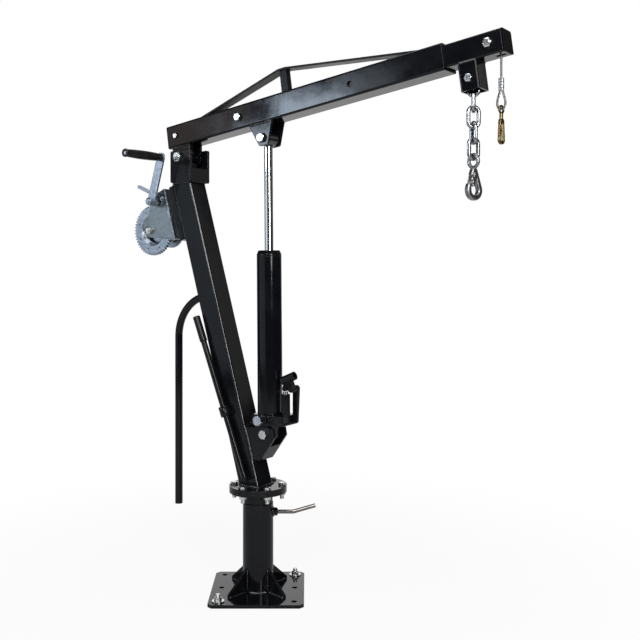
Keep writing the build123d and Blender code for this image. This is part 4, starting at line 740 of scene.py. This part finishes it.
# A moulded cap round the head of the crank's pin
cap = {"bore": 4.4, "outer": 10.6, "deep": 3.6, "proud": 1.2, "round": 1.6, "shoulder": 0.5, "bevel": 0.6,
       "sides": 48}
armPoints = np.empty(3 * len(nodes["crank_arm"].data.vertices))
nodes["crank_arm"].data.vertices.foreach_get("co", armPoints)
pinEnd = (armPoints.reshape(-1, 3) @ -across).max()
capFoot = onMiddlePlane(jointAt["grip_spin"]) - pinEnd * across
capProfile = [
    (cap["outer"], -cap["deep"]),
    (cap["outer"], cap["proud"] - cap["round"]),
    (cap["outer"] - cap["shoulder"], cap["proud"] - cap["shoulder"]),
    (cap["outer"] - cap["round"], cap["proud"]),
    (cap["bore"] + cap["bevel"], cap["proud"]),
    (cap["bore"], cap["proud"] - cap["bevel"]),
    (cap["bore"], -cap["deep"]),
]
turned("gripCap", "winch_crank", "black_plastic", capFoot, -across, capProfile, cap["sides"])
print("turned pieces: made")

# Camera at the photograph's place, level, with the frame shifted rather than turned
view = {"place": (0.1239, -2.2376, 0.8273), "lens": 50.4, "sensor": 36.0, "shift": (0.0192, -0.0945)}
camera = bpy.data.objects.new("camera", bpy.data.cameras.new("camera"))
bpy.context.scene.collection.objects.link(camera)
camera.location = view["place"]
camera.rotation_euler = (radians(90), 0, 0)
camera.data.lens = view["lens"]
camera.data.sensor_width = view["sensor"]
camera.data.shift_x, camera.data.shift_y = view["shift"]
bpy.context.scene.camera = camera
bpy.context.scene.view_settings.view_transform = "Standard"

# Soft boxes: three bright ones beside the camera, a long low bluish one, a dim warm one and three small
# cold ones on the left, a tall dim one on the right, a broad one overhead and a broad dim one behind
lamps = {
    "keyLeft": {"place": (-0.9, -2.9, 2.25), "size": (0.9, 1.2), "power": 40, "colour": (1, 1, 1)},
    "keyRight": {"place": (0.9, -2.9, 2.25), "size": (0.9, 1.2), "power": 40, "colour": (1, 1, 1)},
    "keyLow": {"place": (1.25, -2.75, 1.25), "size": (0.5, 0.9), "power": 29, "colour": (1, 1, 1)},
    "leftLow": {"place": (-2.9, -1.2, 0.76), "size": (3.6, 1.2), "power": 11.5, "colour": (0.78, 0.89, 1)},
    "leftWarm": {"place": (-2.9, -0.4, 1.62), "size": (0.9, 0.45), "power": 1.6, "colour": (1, 0.84, 0.76)},
    "leftCold": {"place": (-2.9, -1.27, 1.60), "size": (0.46, 0.44), "power": 14, "colour": (0.70, 0.83, 1)},
    "leftEar": {"place": (-2.9, -0.94, 1.50), "size": (0.3, 0.2), "power": 3, "colour": (0.70, 0.83, 1)},
    "leftFade": {"place": (-2.9, -1.58, 1.84), "size": (0.4, 0.3), "power": 1.4, "colour": (0.78, 0.88, 1)},
    "right": {"place": (2.7, 0.8, 1.8), "size": (0.6, 1.5), "power": 1.3, "colour": (1, 0.99, 0.97)},
    "top": {"place": (0.1, -0.3, 3.2), "size": (2.4, 2.4), "power": 58, "colour": (0.95, 0.97, 1)},
    "back": {"place": (0.6, 3.0, 1.3), "size": (2.8, 1.8), "power": 5, "colour": (1, 1, 1)},
}
lampAim = Vector((0.1, 0.0, 0.7))
for name, lamp in lamps.items():
    light = bpy.data.lights.new(name, "AREA")
    light.shape = "RECTANGLE"
    light.size, light.size_y = lamp["size"]
    light.energy = lamp["power"]
    light.color = lamp["colour"]
    holder = bpy.data.objects.new(name, light)
    bpy.context.scene.collection.objects.link(holder)
    holder.location = lamp["place"]
    holder.rotation_euler = (holder.location - lampAim).to_track_quat("Z", "Y").to_euler()

# Pale floor: to the eye it is nearly white under the crane and plain white away from it; in reflections it
# is dim before the crane and white behind it
floor = {
    "half": 3.4, "colour": (0.56, 0.56, 0.56, 1), "cloudy": (0.60, 0.60, 0.60, 1), "rough": 0.7, "shine": 0.1,
    "cloud": dict(size=0.8, detail=2), "toEye": (0.91, 1), "away": dict(low=0.4, high=1.4),
    "toMetal": (0.12, 1), "behind": dict(low=0.2, high=1.2),
}


def paleFloor():
    f = Finish("paleFloor")
    f.give(colour=f.tint(f.noise(**floor["cloud"]), floor["colour"], floor["cloudy"]), rough=floor["rough"],
           shine=floor["shine"])
    spot = f.node("ShaderNodeTexCoord", {}, {}, "Object")
    distance = f.node("ShaderNodeVectorMath", {"operation": "LENGTH"}, {0: spot}, "Value")
    toEye = f.between(f.ramp(distance, **floor["away"]), floor["toEye"])
    toMetal = f.between(f.ramp(f.part(spot, "Y"), **floor["behind"]), floor["toMetal"])
    own = f.ray("Camera") * toEye + (f.ray("Glossy") + f.ray("Transmission")) * toMetal
    glow = f.node("ShaderNodeEmission", {}, {"Color": (1, 1, 1, 1), "Strength": 1.0})
    surface = f.node("ShaderNodeMixShader", {}, {0: own, 1: Value(f, f.shader.outputs[0]), 2: glow})
    f.feed(f.tree.nodes["Material Output"].inputs["Surface"], surface)
    return f.owner


floorMesh = bpy.data.meshes.new("floor")
half = floor["half"]
floorCorners = [(-half, -half, 0), (half, -half, 0), (half, half, 0), (-half, half, 0)]
floorMesh.from_pydata(floorCorners, [], [(0, 1, 2, 3)])
floorMesh.materials.append(paleFloor())
floorPiece = bpy.data.objects.new("floor", floorMesh)
bpy.context.scene.collection.objects.link(floorPiece)

# The room: white to the eye, white behind the crane in its reflections, and dim and even everywhere else
room = {"dim": 0.05, "behind": dict(low=0.72, high=0.95)}


def paleRoom():
    f = Finish("room", bpy.data.worlds)
    eye = f.ray("Camera")
    heading = f.node("ShaderNodeTexCoord", {}, {}, "Generated")
    backdrop = f.ramp(f.part(heading, "Y"), **room["behind"])
    mirrored = (f.ray("Glossy") + f.ray("Transmission")) * backdrop
    background = f.tree.nodes["Background"].inputs
    f.feed(background["Color"], (1, 1, 1, 1))
    f.feed(background["Strength"], eye + (1 - eye) * f.between(mirrored, (room["dim"], 1)))
    return f.owner


bpy.context.scene.world = paleRoom()
print("stage: camera, lamps, floor and room")
